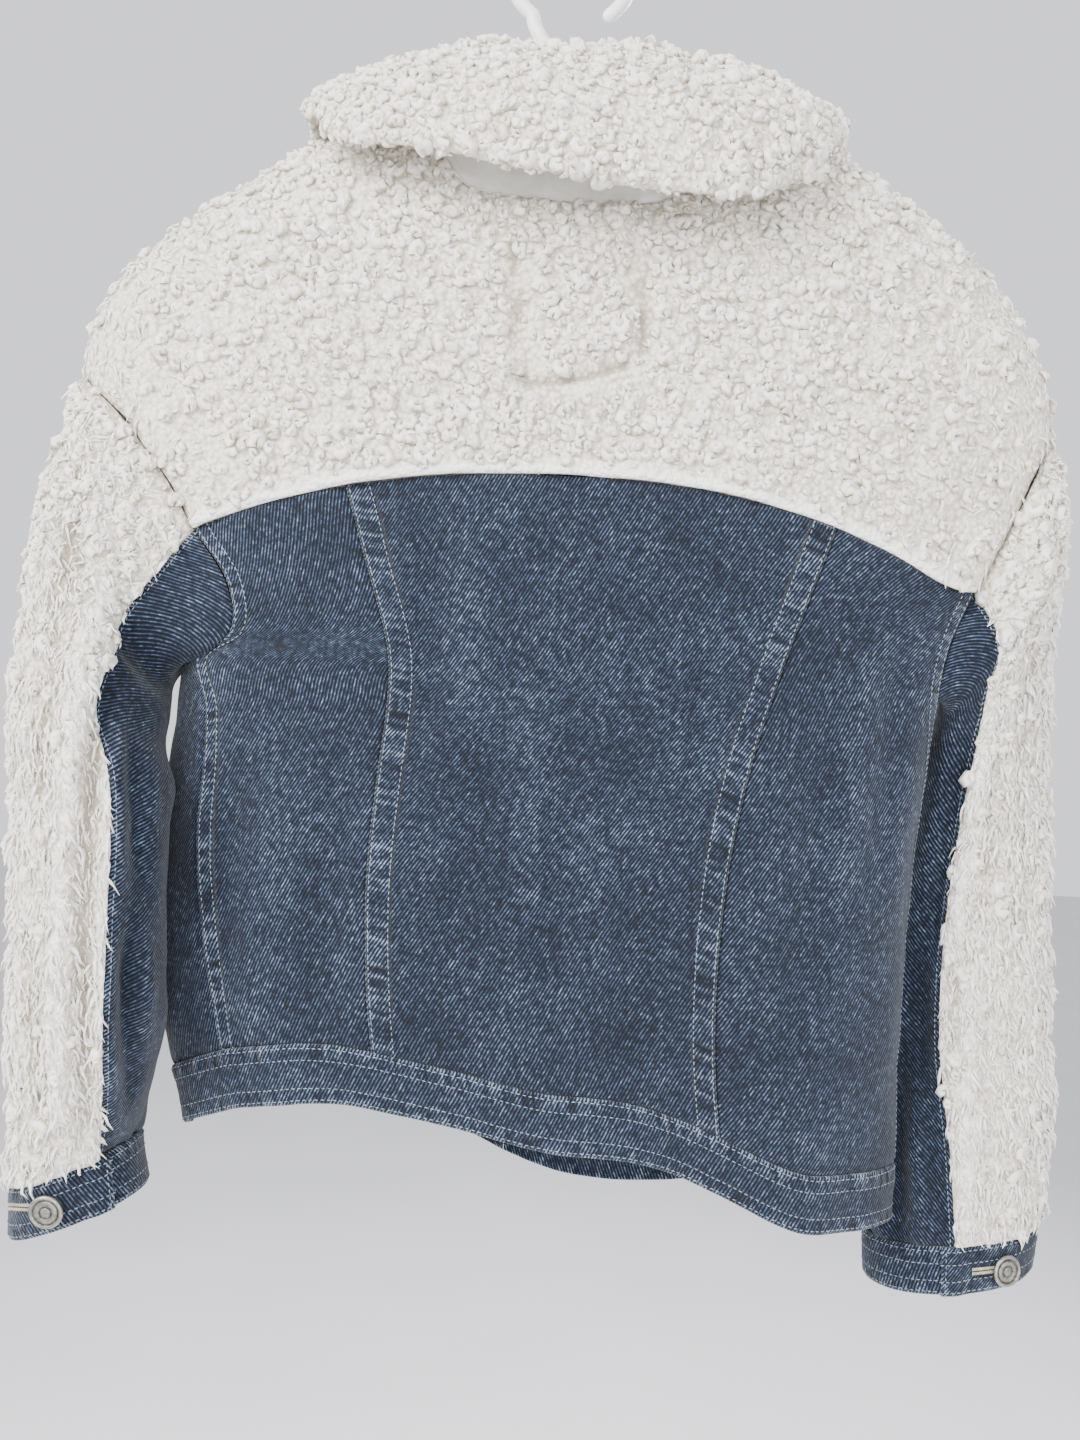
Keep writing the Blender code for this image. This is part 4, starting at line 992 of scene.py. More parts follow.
def pewter():
    """Antiqued nickel plate on stamped brass: grey, softly shining, darkened in its hollows."""
    colours = bpy.context.scene.jacket_colours
    made, tree, shader = start_material("antiqued_nickel_plate", Metallic=1.0)
    place = add(tree, "ShaderNodeTexCoord").outputs["Object"]
    stain = add(
        tree, "ShaderNodeTexNoise", None, {"Vector": place, "Scale": 420.0, "Detail": 4.0, "Roughness": 0.6}
    )
    hollow = add(tree, "ShaderNodeAttribute", {"attribute_name": "hollow"}).outputs["Fac"]
    dark = add(tree, MATH, TIMES_PLUS, {0: hollow, 1: 0.55, 2: stain.outputs[0]}).outputs[0]
    tint = add(
        tree, "ShaderNodeValToRGB",
        {"stops": ((0.35, colours.pewter_bright), (0.62, colours.pewter), (1.0, colours.pewter_dark))},
        {"Fac": dark},
    ).outputs["Color"]
    tree.links.new(tint, shader.inputs["Base Color"])
    dull = add(tree, "ShaderNodeMapRange", None, {"Value": dark, "To Min": 0.28, "To Max": 0.6})
    tree.links.new(dull.outputs[0], shader.inputs["Roughness"])
    bump = add(
        tree, "ShaderNodeBump", None, {"Strength": 0.25, "Distance": 0.0001, "Height": stain.outputs[0]}
    )
    tree.links.new(bump.outputs[0], shader.inputs["Normal"])
    return made


def hanger_plastic():
    """Injection-moulded white polystyrene: smooth, softly shining, a little see-through at thin places,
    with faint flow marks and scuffs from hanging."""
    colours = bpy.context.scene.jacket_colours
    made, tree, shader = start_material("moulded_white_polystyrene")
    shader.inputs["Subsurface Weight"].default_value = 0.3
    shader.inputs["Subsurface Radius"].default_value = (1.0, 1.0, 1.0)
    shader.inputs["Subsurface Scale"].default_value = 0.004
    place = add(tree, "ShaderNodeTexCoord").outputs["Object"]
    marks = add(
        tree, "ShaderNodeTexNoise", None, {"Vector": place, "Scale": 45.0, "Detail": 5.0, "Roughness": 0.6}
    )
    tint = add(
        tree, "ShaderNodeValToRGB", {"stops": ((0.3, colours.plastic_shade), (0.6, colours.plastic))},
        {"Fac": marks.outputs[0]},
    ).outputs["Color"]
    tree.links.new(tint, shader.inputs["Base Color"])
    dull = add(tree, "ShaderNodeMapRange", None, {"Value": marks.outputs[0], "To Min": 0.25, "To Max": 0.45})
    tree.links.new(dull.outputs[0], shader.inputs["Roughness"])
    bump = add(
        tree, "ShaderNodeBump", None, {"Strength": 0.15, "Distance": 0.0003, "Height": marks.outputs[0]}
    )
    tree.links.new(bump.outputs[0], shader.inputs["Normal"])
    return made


def floor_paint():
    """Matt emulsion on a smooth floor: pale, without gloss, faintly mottled."""
    made, tree, shader = start_material("pale_matt_floor", Roughness=0.95)
    place = add(tree, "ShaderNodeTexCoord").outputs["Object"]
    mottle = add(tree, "ShaderNodeTexNoise", None, {"Vector": place, "Scale": 3.0, "Detail": 4.0})
    tint = add(
        tree, "ShaderNodeValToRGB", {"stops": ((0.2, linear("cacacd")), (0.8, linear("d2d2d5")))},
        {"Fac": mottle.outputs[0]},
    ).outputs["Color"]
    tree.links.new(tint, shader.inputs["Base Color"])
    return made


MAKERS = {
    "denim": denim_twill,
    "locks": sherpa_locks,
    "ground": sherpa_ground,
    "cotton": cotton_plain,
    "thread": lambda: sewing_thread("topstitching_thread", bpy.context.scene.jacket_colours.thread),
    "buttonhole": lambda: sewing_thread("buttonhole_thread", bpy.context.scene.jacket_colours.buttonhole),
    "pewter": pewter,
    "plastic": hanger_plastic,
    "floor": floor_paint,
}


# ---- trees of repeated things --------------------------------------------------------------
def new_tree(name, sockets):
    """An empty Geometry Nodes tree with these named inputs, and its first and last nodes."""
    tree = bpy.data.node_groups.new(name, "GeometryNodeTree")
    tree.interface.new_socket("Geometry", in_out="INPUT", socket_type="NodeSocketGeometry")
    tree.interface.new_socket("Geometry", in_out="OUTPUT", socket_type="NodeSocketGeometry")
    for label, kind, value in sockets:
        made = tree.interface.new_socket(label, in_out="INPUT", socket_type="NodeSocket" + kind)
        if value is not None:
            made.default_value = value
    return tree, tree.nodes.new("NodeGroupInput").outputs, tree.nodes.new("NodeGroupOutput")


def run_tree(obj, tree, values):
    """Runs the tree on the object and leaves its result as a plain mesh."""
    modifier = obj.modifiers.new(tree.name, "NODES")
    modifier.node_group = tree
    for item in tree.interface.items_tree:
        if item.item_type == "SOCKET" and item.in_out == "INPUT" and item.name in values:
            modifier[item.identifier] = values[item.name]
    obj.update_tag()
    bpy.context.view_layer.update()
    graph = bpy.context.evaluated_depsgraph_get()
    data = bpy.data.meshes.new_from_object(obj.evaluated_get(graph))
    obj.modifiers.clear()
    data.name = obj.name
    obj.data = data
    if not data.polygons:
        raise RuntimeError(f"{obj.name}: the tree made nothing")
    return obj


def parting(tree, place, shag):
    """1 inside a tuft of the pile and 0 in the parting round it. Brushed tufts are longer down the cloth."""
    axes = add(tree, "ShaderNodeSeparateXYZ", None, {0: place})
    drawn = add(tree, MATH, TIMES_PLUS, {0: shag, 1: -0.55, 2: 1.0}).outputs[0]
    long = add(tree, MATH, TIMES, {0: axes.outputs[2], 1: drawn}).outputs[0]
    wander = add(tree, "ShaderNodeTexNoise", None, {"Vector": place, "Scale": 160.0, "Detail": 1.0})
    even = add(tree, "ShaderNodeCombineXYZ", None, {0: axes.outputs[0], 1: axes.outputs[1], 2: long})
    bent = add(
        tree, "ShaderNodeVectorMath", {"operation": "SCALE"}, {0: wander.outputs["Color"], "Scale": 0.0045}
    )
    moved = add(tree, "ShaderNodeVectorMath", PLUS, {0: even.outputs[0], 1: bent.outputs[0]})
    cells = add(
        tree, "ShaderNodeTexVoronoi", {"feature": "DISTANCE_TO_EDGE"},
        {"Vector": moved.outputs[0], "Scale": 135.0, "Randomness": 1.0},
    )
    return add(
        tree, "ShaderNodeMapRange", None, {"Value": cells.outputs[0], "From Min": 0.01, "From Max": 0.16}
    ).outputs[0]


def pile_tree():
    """Locks of pile on a cloth: curls where the cloth's shag is 0, brushed strands where it is 1."""
    if "pile locks" in bpy.data.node_groups:
        return bpy.data.node_groups["pile locks"]
    tree, given, result = new_tree(
        "pile locks",
        (
            ("Spacing", "Float", 0.0026),
            ("Density", "Float", 90000.0),
            ("Curl Radius", "Float", 0.0016),
            ("Curl Height", "Float", 0.0028),
            ("Strand Length", "Float", 0.0105),
            ("Yarn Radius", "Float", 0.00095),
            ("Seed", "Int", 7),
            ("Material", "Material", None),
        ),
    )
    cover = add(tree, "GeometryNodeInputNamedAttribute", {"data_type": "FLOAT"}, {"Name": "cover"})
    points = add(
        tree, "GeometryNodeDistributePointsOnFaces", {"distribute_method": "POISSON"},
        {
            "Mesh": given["Geometry"], "Distance Min": given["Spacing"], "Density Max": given["Density"],
            "Density Factor": cover.outputs[0], "Seed": given["Seed"],
        },
    )
    flow = add(
        tree, "GeometryNodeInputNamedAttribute", {"data_type": "FLOAT_VECTOR"}, {"Name": "flow"}
    ).outputs[0]
    shag = add(tree, "GeometryNodeInputNamedAttribute", {"data_type": "FLOAT"}, {"Name": "shag"}).outputs[0]
    # Which way a lock stands: off the cloth, thrown a little to one side.
    throw = add(
        tree, "FunctionNodeRandomValue", {"data_type": "FLOAT_VECTOR"},
        {0: (-0.3, -0.3, -0.3), 1: (0.3, 0.3, 0.3), "Seed": 11},
    )
    stand = add(tree, "ShaderNodeVectorMath", PLUS, {0: points.outputs["Normal"], 1: throw.outputs[0]})
    upright = add(tree, "FunctionNodeAlignRotationToVector", {"axis": "Z"}, {"Vector": stand.outputs[0]})
    combed = add(
        tree, "FunctionNodeAlignRotationToVector", {"axis": "X", "pivot_axis": "Z"},
        {"Rotation": upright.outputs[0], "Vector": flow},
    )
    swing = add(tree, "FunctionNodeRandomValue", {"data_type": "FLOAT"}, {2: -1.0, 3: 1.0, "Seed": 23})
    range_of = add(tree, "ShaderNodeMapRange", None, {"Value": shag, "To Min": math.pi, "To Max": 0.40})
    angle = add(tree, MATH, TIMES, {0: swing.outputs[1], 1: range_of.outputs[0]}).outputs[0]
    spin = add(tree, "FunctionNodeAxisAngleToRotation", None, {"Axis": (0.0, 0.0, 1.0), "Angle": angle})
    turned = add(
        tree, "FunctionNodeRotateRotation", {"rotation_space": "LOCAL"},
        {"Rotation": combed.outputs[0], "Rotate By": spin.outputs[0]},
    )
    size = add(tree, "FunctionNodeRandomValue", {"data_type": "FLOAT"}, {2: 0.75, 3: 1.40, "Seed": 31})
    # Tufts: locks clump over 8 mm or so, and are short in the partings between the clumps.
    here = add(tree, "GeometryNodeInputPosition").outputs[0]
    tuft = parting(tree, here, shag)
    short = add(
        tree, "ShaderNodeMapRange", None,
        {"Value": tuft, "From Min": 0.0, "From Max": 1.0, "To Min": 0.55, "To Max": 1.12},
    )
    length = add(tree, MATH, TIMES, {0: size.outputs[1], 1: short.outputs[0]}).outputs[0]
    chance = add(tree, "FunctionNodeRandomValue", {"data_type": "FLOAT"}, {2: 0.0, 3: 1.0, "Seed": 43})
    below = {"data_type": "FLOAT", "operation": "LESS_THAN"}
    brushed = add(tree, "FunctionNodeCompare", below, {0: chance.outputs[1], 1: shag})
    curled = add(tree, "FunctionNodeBooleanMath", {"operation": "NOT"}, {0: brushed.outputs[0]})
    curl = add(
        tree, "GeometryNodeCurveSpiral", None,
        {
            "Resolution": 6, "Rotations": 0.85, "Start Radius": given["Curl Radius"],
            "End Radius": add(tree, MATH, TIMES, {0: given["Curl Radius"], 1: 0.15}).outputs[0],
            "Height": given["Curl Height"],
        },
    )
    reach = given["Strand Length"]
    strand = add(
        tree, "GeometryNodeCurveQuadraticBezier", None,
        {
            "Resolution": 3,
            "Middle": add(
                tree, "ShaderNodeCombineXYZ", None,
                {
                    0: add(tree, MATH, TIMES, {0: reach, 1: 0.40}).outputs[0],
                    2: add(tree, MATH, TIMES, {0: reach, 1: 0.20}).outputs[0],
                },
            ).outputs[0],
            "End": add(
                tree, "ShaderNodeCombineXYZ", None,
                {
                    0: add(tree, MATH, TIMES, {0: reach, 1: 0.92}).outputs[0],
                    1: add(tree, MATH, TIMES, {0: reach, 1: 0.10}).outputs[0],
                    2: add(tree, MATH, TIMES, {0: reach, 1: 0.04}).outputs[0],
                },
            ).outputs[0],
            "Start": (0.0, 0.0, 0.0),
        },
    )
    made = []
    for kind, selection, fat, taper, low, high in (
        (curl, curled, 1.0, 0.25, -0.0010, 0.0034),
        (strand, brushed, 0.34, 0.85, -0.0008, 0.0012),
    ):
        place = add(tree, "GeometryNodeSplineParameter").outputs["Factor"]
        thin = add(
            tree, MATH, TIMES_PLUS,
            {0: add(tree, MATH, {"operation": "POWER"}, {0: place, 1: 1.6}).outputs[0], 1: -taper, 2: 1.0},
        ).outputs[0]
        ring = add(
            tree, "GeometryNodeCurvePrimitiveCircle", None,
            {
                "Resolution": 4 if kind is curl else 3,
                "Radius": add(tree, MATH, TIMES, {0: given["Yarn Radius"], 1: fat}).outputs[0],
            },
        )
        solid = add(
            tree, "GeometryNodeCurveToMesh", None,
            {"Curve": kind.outputs[0], "Profile Curve": ring.outputs[0], "Fill Caps": True},
        )
        tree.links.new(thin, solid.inputs["Scale"])
        # Painted shade: a lock is palest where it stands highest off the ground and darker down towards it;
        # the tip mark carries this.
        rise = add(
            tree, "ShaderNodeSeparateXYZ", None, {0: add(tree, "GeometryNodeInputPosition").outputs[0]}
        ).outputs[2]
        height = add(
            tree, "ShaderNodeMapRange", None, {"Value": rise, "From Min": low, "From Max": high}
        ).outputs[0]
        marked = add(
            tree, "GeometryNodeStoreNamedAttribute", {"data_type": "FLOAT", "domain": "POINT"},
            {"Geometry": solid.outputs[0], "Name": "tip", "Value": height},
        )
        set_on = add(
            tree, "GeometryNodeInstanceOnPoints", None,
            {
                "Points": points.outputs["Points"], "Selection": selection.outputs[0],
                "Instance": marked.outputs[0], "Rotation": turned.outputs[0], "Scale": length,
            },
        )
        made.append(set_on.outputs[0])
    joined = add(tree, "GeometryNodeJoinGeometry")
    for socket in reversed(made):
        tree.links.new(socket, joined.inputs[0])
    # Clumps: neighbouring locks are a little lighter or darker together, over 8 mm or so.
    clump = add(
        tree, "ShaderNodeTexNoise", None,
        {"Scale": 130.0, "Detail": 1.0, "Vector": add(tree, "GeometryNodeInputPosition").outputs[0]},
    )
    own = add(tree, "FunctionNodeRandomValue", {"data_type": "FLOAT"}, {2: -0.25, 3: 0.25, "Seed": 53})
    tone = add(
        tree, MATH, PLUS,
        {0: add(tree, MATH, LESS, {0: clump.outputs[0], 1: 0.5}).outputs[0], 1: own.outputs[1]},
    ).outputs[0]
    toned = add(
        tree, "GeometryNodeStoreNamedAttribute", {"data_type": "FLOAT", "domain": "INSTANCE"},
        {"Geometry": joined.outputs[0], "Name": "tone", "Value": tone},
    )
    real = add(tree, "GeometryNodeRealizeInstances", None, {0: toned.outputs[0]})
    bend = add(
        tree, "ShaderNodeTexNoise", None,
        {"Scale": 210.0, "Detail": 2.0, "Vector": add(tree, "GeometryNodeInputPosition").outputs[0]},
    )
    centred = add(tree, "ShaderNodeVectorMath", LESS, {0: bend.outputs["Color"], 1: (0.5, 0.5, 0.5)})
    push = add(tree, "ShaderNodeVectorMath", {"operation": "SCALE"}, {0: centred.outputs[0], "Scale": 0.0048})
    bent = add(
        tree, "GeometryNodeSetPosition", None, {"Geometry": real.outputs[0], "Offset": push.outputs[0]}
    )
    soft = add(tree, "GeometryNodeSetShadeSmooth", None, {"Geometry": bent.outputs[0], "Shade Smooth": True})
    done = add(
        tree, "GeometryNodeSetMaterial", None, {"Geometry": soft.outputs[0], "Material": given["Material"]}
    )
    tree.links.new(done.outputs[0], result.inputs["Geometry"])
    return tree


def stitch_tree():
    """Stitches along the edges of a mesh of paths, each lying on the cloth, along the row or across it."""
    if "sewn stitches" in bpy.data.node_groups:
        return bpy.data.node_groups["sewn stitches"]
    tree, given, result = new_tree(
        "sewn stitches",
        (
            ("Pitch", "Float", 0.0030),
            ("Length", "Float", 0.0023),
            ("Thickness", "Float", 0.0006),
            ("Turn", "Float", 0.0),
            ("Material", "Material", None),
        ),
    )
    paths = add(tree, "GeometryNodeMeshToCurve", None, {"Mesh": given["Geometry"]})
    spaced = add(tree, "GeometryNodeResampleCurve", None, {"Curve": paths.outputs[0]})
    spaced.mode = "LENGTH"
    tree.links.new(given["Pitch"], spaced.inputs["Length"])
    tangent = add(tree, "GeometryNodeInputTangent").outputs[0]
    up = add(
        tree, "GeometryNodeInputNamedAttribute", {"data_type": "FLOAT_VECTOR"}, {"Name": "up"}
    ).outputs[0]
    flat = add(tree, "FunctionNodeAlignRotationToVector", {"axis": "Z"}, {"Vector": up})
    along = add(
        tree, "FunctionNodeAlignRotationToVector", {"axis": "X", "pivot_axis": "Z"},
        {"Rotation": flat.outputs[0], "Vector": tangent},
    )
    wobble = add(tree, "FunctionNodeRandomValue", {"data_type": "FLOAT"}, {2: -0.10, 3: 0.10, "Seed": 5})
    angle = add(tree, MATH, PLUS, {0: wobble.outputs[1], 1: given["Turn"]}).outputs[0]
    spin = add(tree, "FunctionNodeAxisAngleToRotation", None, {"Axis": (0.0, 0.0, 1.0), "Angle": angle})
    turned = add(
        tree, "FunctionNodeRotateRotation", {"rotation_space": "LOCAL"},
        {"Rotation": along.outputs[0], "Rotate By": spin.outputs[0]},
    )
    bead = add(tree, "GeometryNodeMeshIcoSphere", None, {"Radius": 0.5, "Subdivisions": 1})
    size = add(
        tree, "ShaderNodeCombineXYZ", None,
        {
            0: given["Length"], 1: given["Thickness"],
            2: add(tree, MATH, TIMES, {0: given["Thickness"], 1: 0.8}).outputs[0],
        },
    )
    sewn = add(
        tree, "GeometryNodeInstanceOnPoints", None,
        {
            "Points": spaced.outputs[0], "Instance": bead.outputs[0], "Rotation": turned.outputs[0],
            "Scale": size.outputs[0],
        },
    )
    real = add(tree, "GeometryNodeRealizeInstances", None, {0: sewn.outputs[0]})
    soft = add(tree, "GeometryNodeSetShadeSmooth", None, {"Geometry": real.outputs[0], "Shade Smooth": True})
    done = add(
        tree, "GeometryNodeSetMaterial", None, {"Geometry": soft.outputs[0], "Material": given["Material"]}
    )
    tree.links.new(done.outputs[0], result.inputs["Geometry"])
    return tree


# ---- body ----------------------------------------------------------------------------------
SEWING = []  # rows of stitches, each a list of places and the way up from the cloth there


def sew_beside(cloth, measure, distance, out, by_row=True):
    """Keeps a row of stitches this far from an edge, where measure is the distance from it."""
    surface, found, ups = cloth.surface(out), [], []
    if not by_row:
        measure, surface, normals = measure.T, np.swapaxes(surface, 0, 1), np.swapaxes(cloth.normals, 0, 1)
    else:
        normals = cloth.normals
    for line, points, ways in zip(measure, surface, normals):
        order = np.argsort(line)
        if not line[order[0]] <= distance <= line[order[-1]]:
            continue
        found.append([np.interp(distance, line[order], points[order, n]) for n in range(3)])
        ups.append([np.interp(distance, line[order], ways[order, n]) for n in range(3)])
    if len(found) > 2:
        SEWING.append((np.array(found) + 0.00012 * np.array(ups), np.array(ups)))


def build_back():
    """The denim back in three panels. The centre back is felled over the side backs."""
    stops = np.cumsum((0, *BACK_SPANS))
    for name, low, high, count in (
        ("side_back_left", stops[0], stops[1], 34),
        ("centre_back", stops[1], stops[2], 64),
        ("side_back_right", stops[2], stops[3], 40),
    ):
        cloth = Cloth(patch(block("back"), places(0, YOKE_ROW, 110), places(low, high, count)))
        cloth.relief += 0.0007 * ripple(cloth.points, 0.05, 3) + 0.00025 * ripple(cloth.points, 0.018, 4)
        cloth.crease(BACK_CREASES)
        cloth.under(cloth.head, 0.0006)
        cloth.under(cloth.foot, 0.0012)
        if name == "centre_back":
            cloth.felled(cloth.start, cloth.foot)
            cloth.felled(cloth.end, cloth.foot)
            for measure in (cloth.start, cloth.end):
                sew_beside(cloth, measure, 0.0016, 0)
                sew_beside(cloth, measure, 0.0118, 0)
        else:
            princess, side = (
                cloth.end, cloth.start
            ) if name == "side_back_left" else (cloth.start, cloth.end)
            cloth.under(princess)
            cloth.felled(side, cloth.foot, 0.008)
            cloth.worn(side, 1.3, 0.0018)
            sew_beside(cloth, side, 0.0018, 0)
            sew_beside(cloth, side, 0.0075, 0)
        piece = shell(name, cloth, 0.0, DENIM_WALL, look("denim"))
        declare(piece, name)


def front_points(rows, columns):
    """The whole front, whose bottom strips under the arms reach up only to the underarm."""
    inner = patch(block("front"), rows, np.clip(columns - BOTTOM_SEGMENTS, 0, LEFT_ARM - RIGHT_FRONT))
    low = patch(block("lower")[:, BACK_COUNT:], np.clip(rows, 0, ARM_ROW), columns)
    first, last = BOTTOM_SEGMENTS, LEFT_ARM - BACK_COUNT
    edges = patch(block("lower")[:, BACK_COUNT:], np.clip(rows, 0, ARM_ROW), np.array([first, last], float))
    for edge, beside in ((0, columns < first), (1, columns > last)):
        near = columns / first if edge == 0 else (ROUND_COUNT - BACK_COUNT - columns) / BOTTOM_SEGMENTS
        shift = (inner[:, [0 if edge == 0 else -1]] - edges[:, [edge]]) * near[None, :, None]
        strip = (low + shift)[:, beside]
        below = rows <= ARM_ROW + 1e-6
        inner[np.ix_(below, beside)] = strip[below]
        # Above the underarm there is no cloth here: the points only keep the grid in order.
        inner[np.ix_(~below, beside)] = inner[~below][:, [0 if edge == 0 else -1]]
    return inner


def build_fronts():
    """The denim fronts, from the placket round to the side seams."""
    right_edge, left_edge = PLACKET_FROM - BACK_COUNT, LEFT_FRONT - BACK_COUNT
    far = ROUND_COUNT - BACK_COUNT
    rows = np.concatenate(
        [places(0, ARM_ROW, 76, 0.4)[:-1], [ARM_ROW], places(ARM_ROW, YOKE_ROW, 32, 0.4)[1:]]
    )
    arm = int(np.flatnonzero(rows == ARM_ROW)[0])
    for side in ("right", "left"):
        if side == "right":
            strip, panel = places(0, BOTTOM_SEGMENTS, 14, 0.2), places(BOTTOM_SEGMENTS, right_edge, 48, 0.5)
            columns = np.concatenate([strip[:-1], [BOTTOM_SEGMENTS], panel[1:]])
            outside = slice(0, len(strip) - 1)
        else:
            panel, strip = places(
                left_edge, far - BOTTOM_SEGMENTS, 48, 0.5
            ), places(far - BOTTOM_SEGMENTS, far, 14, 0.2)
            columns = np.concatenate([panel[:-1], [far - BOTTOM_SEGMENTS], strip[1:]])
            outside = slice(len(panel) - 1, None)
        points = front_points(rows, columns)
        cloth = Cloth(points)
        cloth.normals[arm:, outside] = cloth.normals[[arm - 1], outside]
        cloth.mask[arm:, outside] = False
        cloth.relief += 0.0007 * ripple(cloth.points, 0.05, 5) + 0.00025 * ripple(cloth.points, 0.018, 6)
        cloth.crease(FRONT_CREASES)
        cloth.under(cloth.head, 0.0006)
        cloth.under(cloth.foot, 0.0012)
        by_placket, by_side = (cloth.end, cloth.start) if side == "right" else (cloth.start, cloth.end)
        cloth.under(by_placket)
        below = (np.arange(len(rows)) < arm)[:, None] * np.ones(points.shape[1])
        cloth.under(np.where(below > 0, by_side, 1.0))
        sew_beside(cloth, cloth.head, 0.0030, 0, by_row=False)
        piece = shell("front_" + side, cloth, 0.0, DENIM_WALL, look("denim"))
        declare(piece, "front_" + side)
    cloth = Cloth(front_points(places(0, TOP_ROW, 170, 0.3), places(right_edge, left_edge, 18, 0.5)))
    for measure in (cloth.start, cloth.end):
        cloth.relief -= 0.0005 * np.exp(-((measure / 0.0008) ** 2))
        cloth.worn(measure, 1.0)
        cloth.roped(measure, cloth.foot, 0.007, 0.6)
        sew_beside(cloth, measure, 0.0020, BAND_OUT)
        sew_beside(cloth, measure, 0.0075, BAND_OUT)
    piece = shell("placket", cloth, BAND_OUT, BAND_IN, look("denim"))
    declare(piece, "placket")


def build_waistband():
    """One strip of doubled denim from the placket's left edge round the back to the same edge again."""
    band = block("band")
    ring = np.concatenate([band[:, LEFT_FRONT:-1], band[:, : LEFT_FRONT + 1]], axis=1)
    cloth = Cloth(patch(ring, places(0, WAIST_ROWS, 18, 0.4), places(0, ROUND_COUNT, 420, 0.0)))
    edges = np.minimum(cloth.foot, cloth.head)
    cloth.relief += 0.0004 * ripple(cloth.points, 0.022, 8) - 0.0009 * np.exp(-((edges / 0.0012) ** 2))
    for at in (0.0080, 0.0145, 0.0220):
        cloth.relief -= 0.00025 * np.exp(-(((cloth.foot - at) / 0.0009) ** 2))
    cloth.worn(edges, 1.2, 0.0013)
    cloth.roped(cloth.foot, cloth.u, 0.010, 0.9)
    cloth.roped(cloth.head, cloth.u, 0.012, 1.0)
    cloth.wear += 0.12
    for measure, distance in (
        (cloth.foot, 0.0022), (cloth.foot, 0.0082), (cloth.head, 0.0018), (cloth.head, 0.0080)
    ):
        sew_beside(cloth, measure, distance, BAND_OUT, by_row=False)
    piece = shell("waistband", cloth, BAND_OUT, BAND_IN, look("denim"))
    declare(piece, "waistband")


# ---- sherpa --------------------------------------------------------------------------------
def grow_pile(name, points, quads, marks, seed, brushed=False):
    """The locks of pile on a piece's outer side, thicker set where it is brushed."""
    sizes = bpy.context.scene.jacket_sizes
    pile = mesh_piece(name + "_pile", points, quads, look("locks"), marks)
    values = {
        "Spacing": sizes.strand_spacing if brushed else sizes.lock_spacing,
        "Density": sizes.strand_density if brushed else sizes.lock_density, "Curl Radius": sizes.curl_radius,
        "Curl Height": sizes.curl_height, "Strand Length": sizes.strand_length,
        "Yarn Radius": sizes.yarn_radius, "Seed": seed, "Material": look("locks"),
    }
    return part_of(run_tree(pile, pile_tree(), values), "sherpa")


def nap(name, cloth, shag, flow, cover, seed, brushed=False):
    """A sherpa piece: its knitted ground as a wall, with its pile on it."""
    edges = np.minimum(np.minimum(cloth.start, cloth.end), np.minimum(cloth.foot, cloth.head))
    out = NAP_EDGE + (NAP_OUT - NAP_EDGE) * np.sqrt(ease(edges, -0.002, 0.007))
    cloth.relief += 0.0005 * ripple(cloth.points, 0.012, seed + 1)
    piece = shell(name, cloth, out, NAP_IN, look("ground"))
    quads = grid_quads(cloth.mask, cloth.turned_over())
    seat_points = cloth.surface(out + 0.0002).reshape(-1, 3)
    marks = {
        "shag": np.broadcast_to(shag, cloth.points.shape[:2]).ravel(),
        "flow": np.broadcast_to(flow, cloth.points.shape).reshape(-1, 3),
        "cover": np.broadcast_to(cover, cloth.points.shape[:2]).ravel(),
    }
    pile = grow_pile(name, seat_points, quads, marks, seed, brushed)
    declare(piece, name)


def sunk(cloth, distance):
    """A seam between two pieces of sherpa: its edges go down into the pile, where it is warmer and darker."""
    cloth.relief -= 0.0011 * np.exp(-distance / 0.0050)
    # Painted shade along the seam.
    cloth.wear = cloth.wear - 0.5 * np.exp(-((distance / 0.0030) ** 2))


def line_distance(points, rows):
    x, z = points[..., 0], points[..., 2]
    nearest = np.full(x.shape, 1.0)
    for ax, az, bx, bz in rows:
        dx, dz = bx - ax, bz - az
        t = np.clip(((x - ax) * dx + (z - az) * dz) / (dx * dx + dz * dz), 0, 1)
        nearest = np.minimum(nearest, np.hypot(x - ax - t * dx, z - az - t * dz))
    return nearest


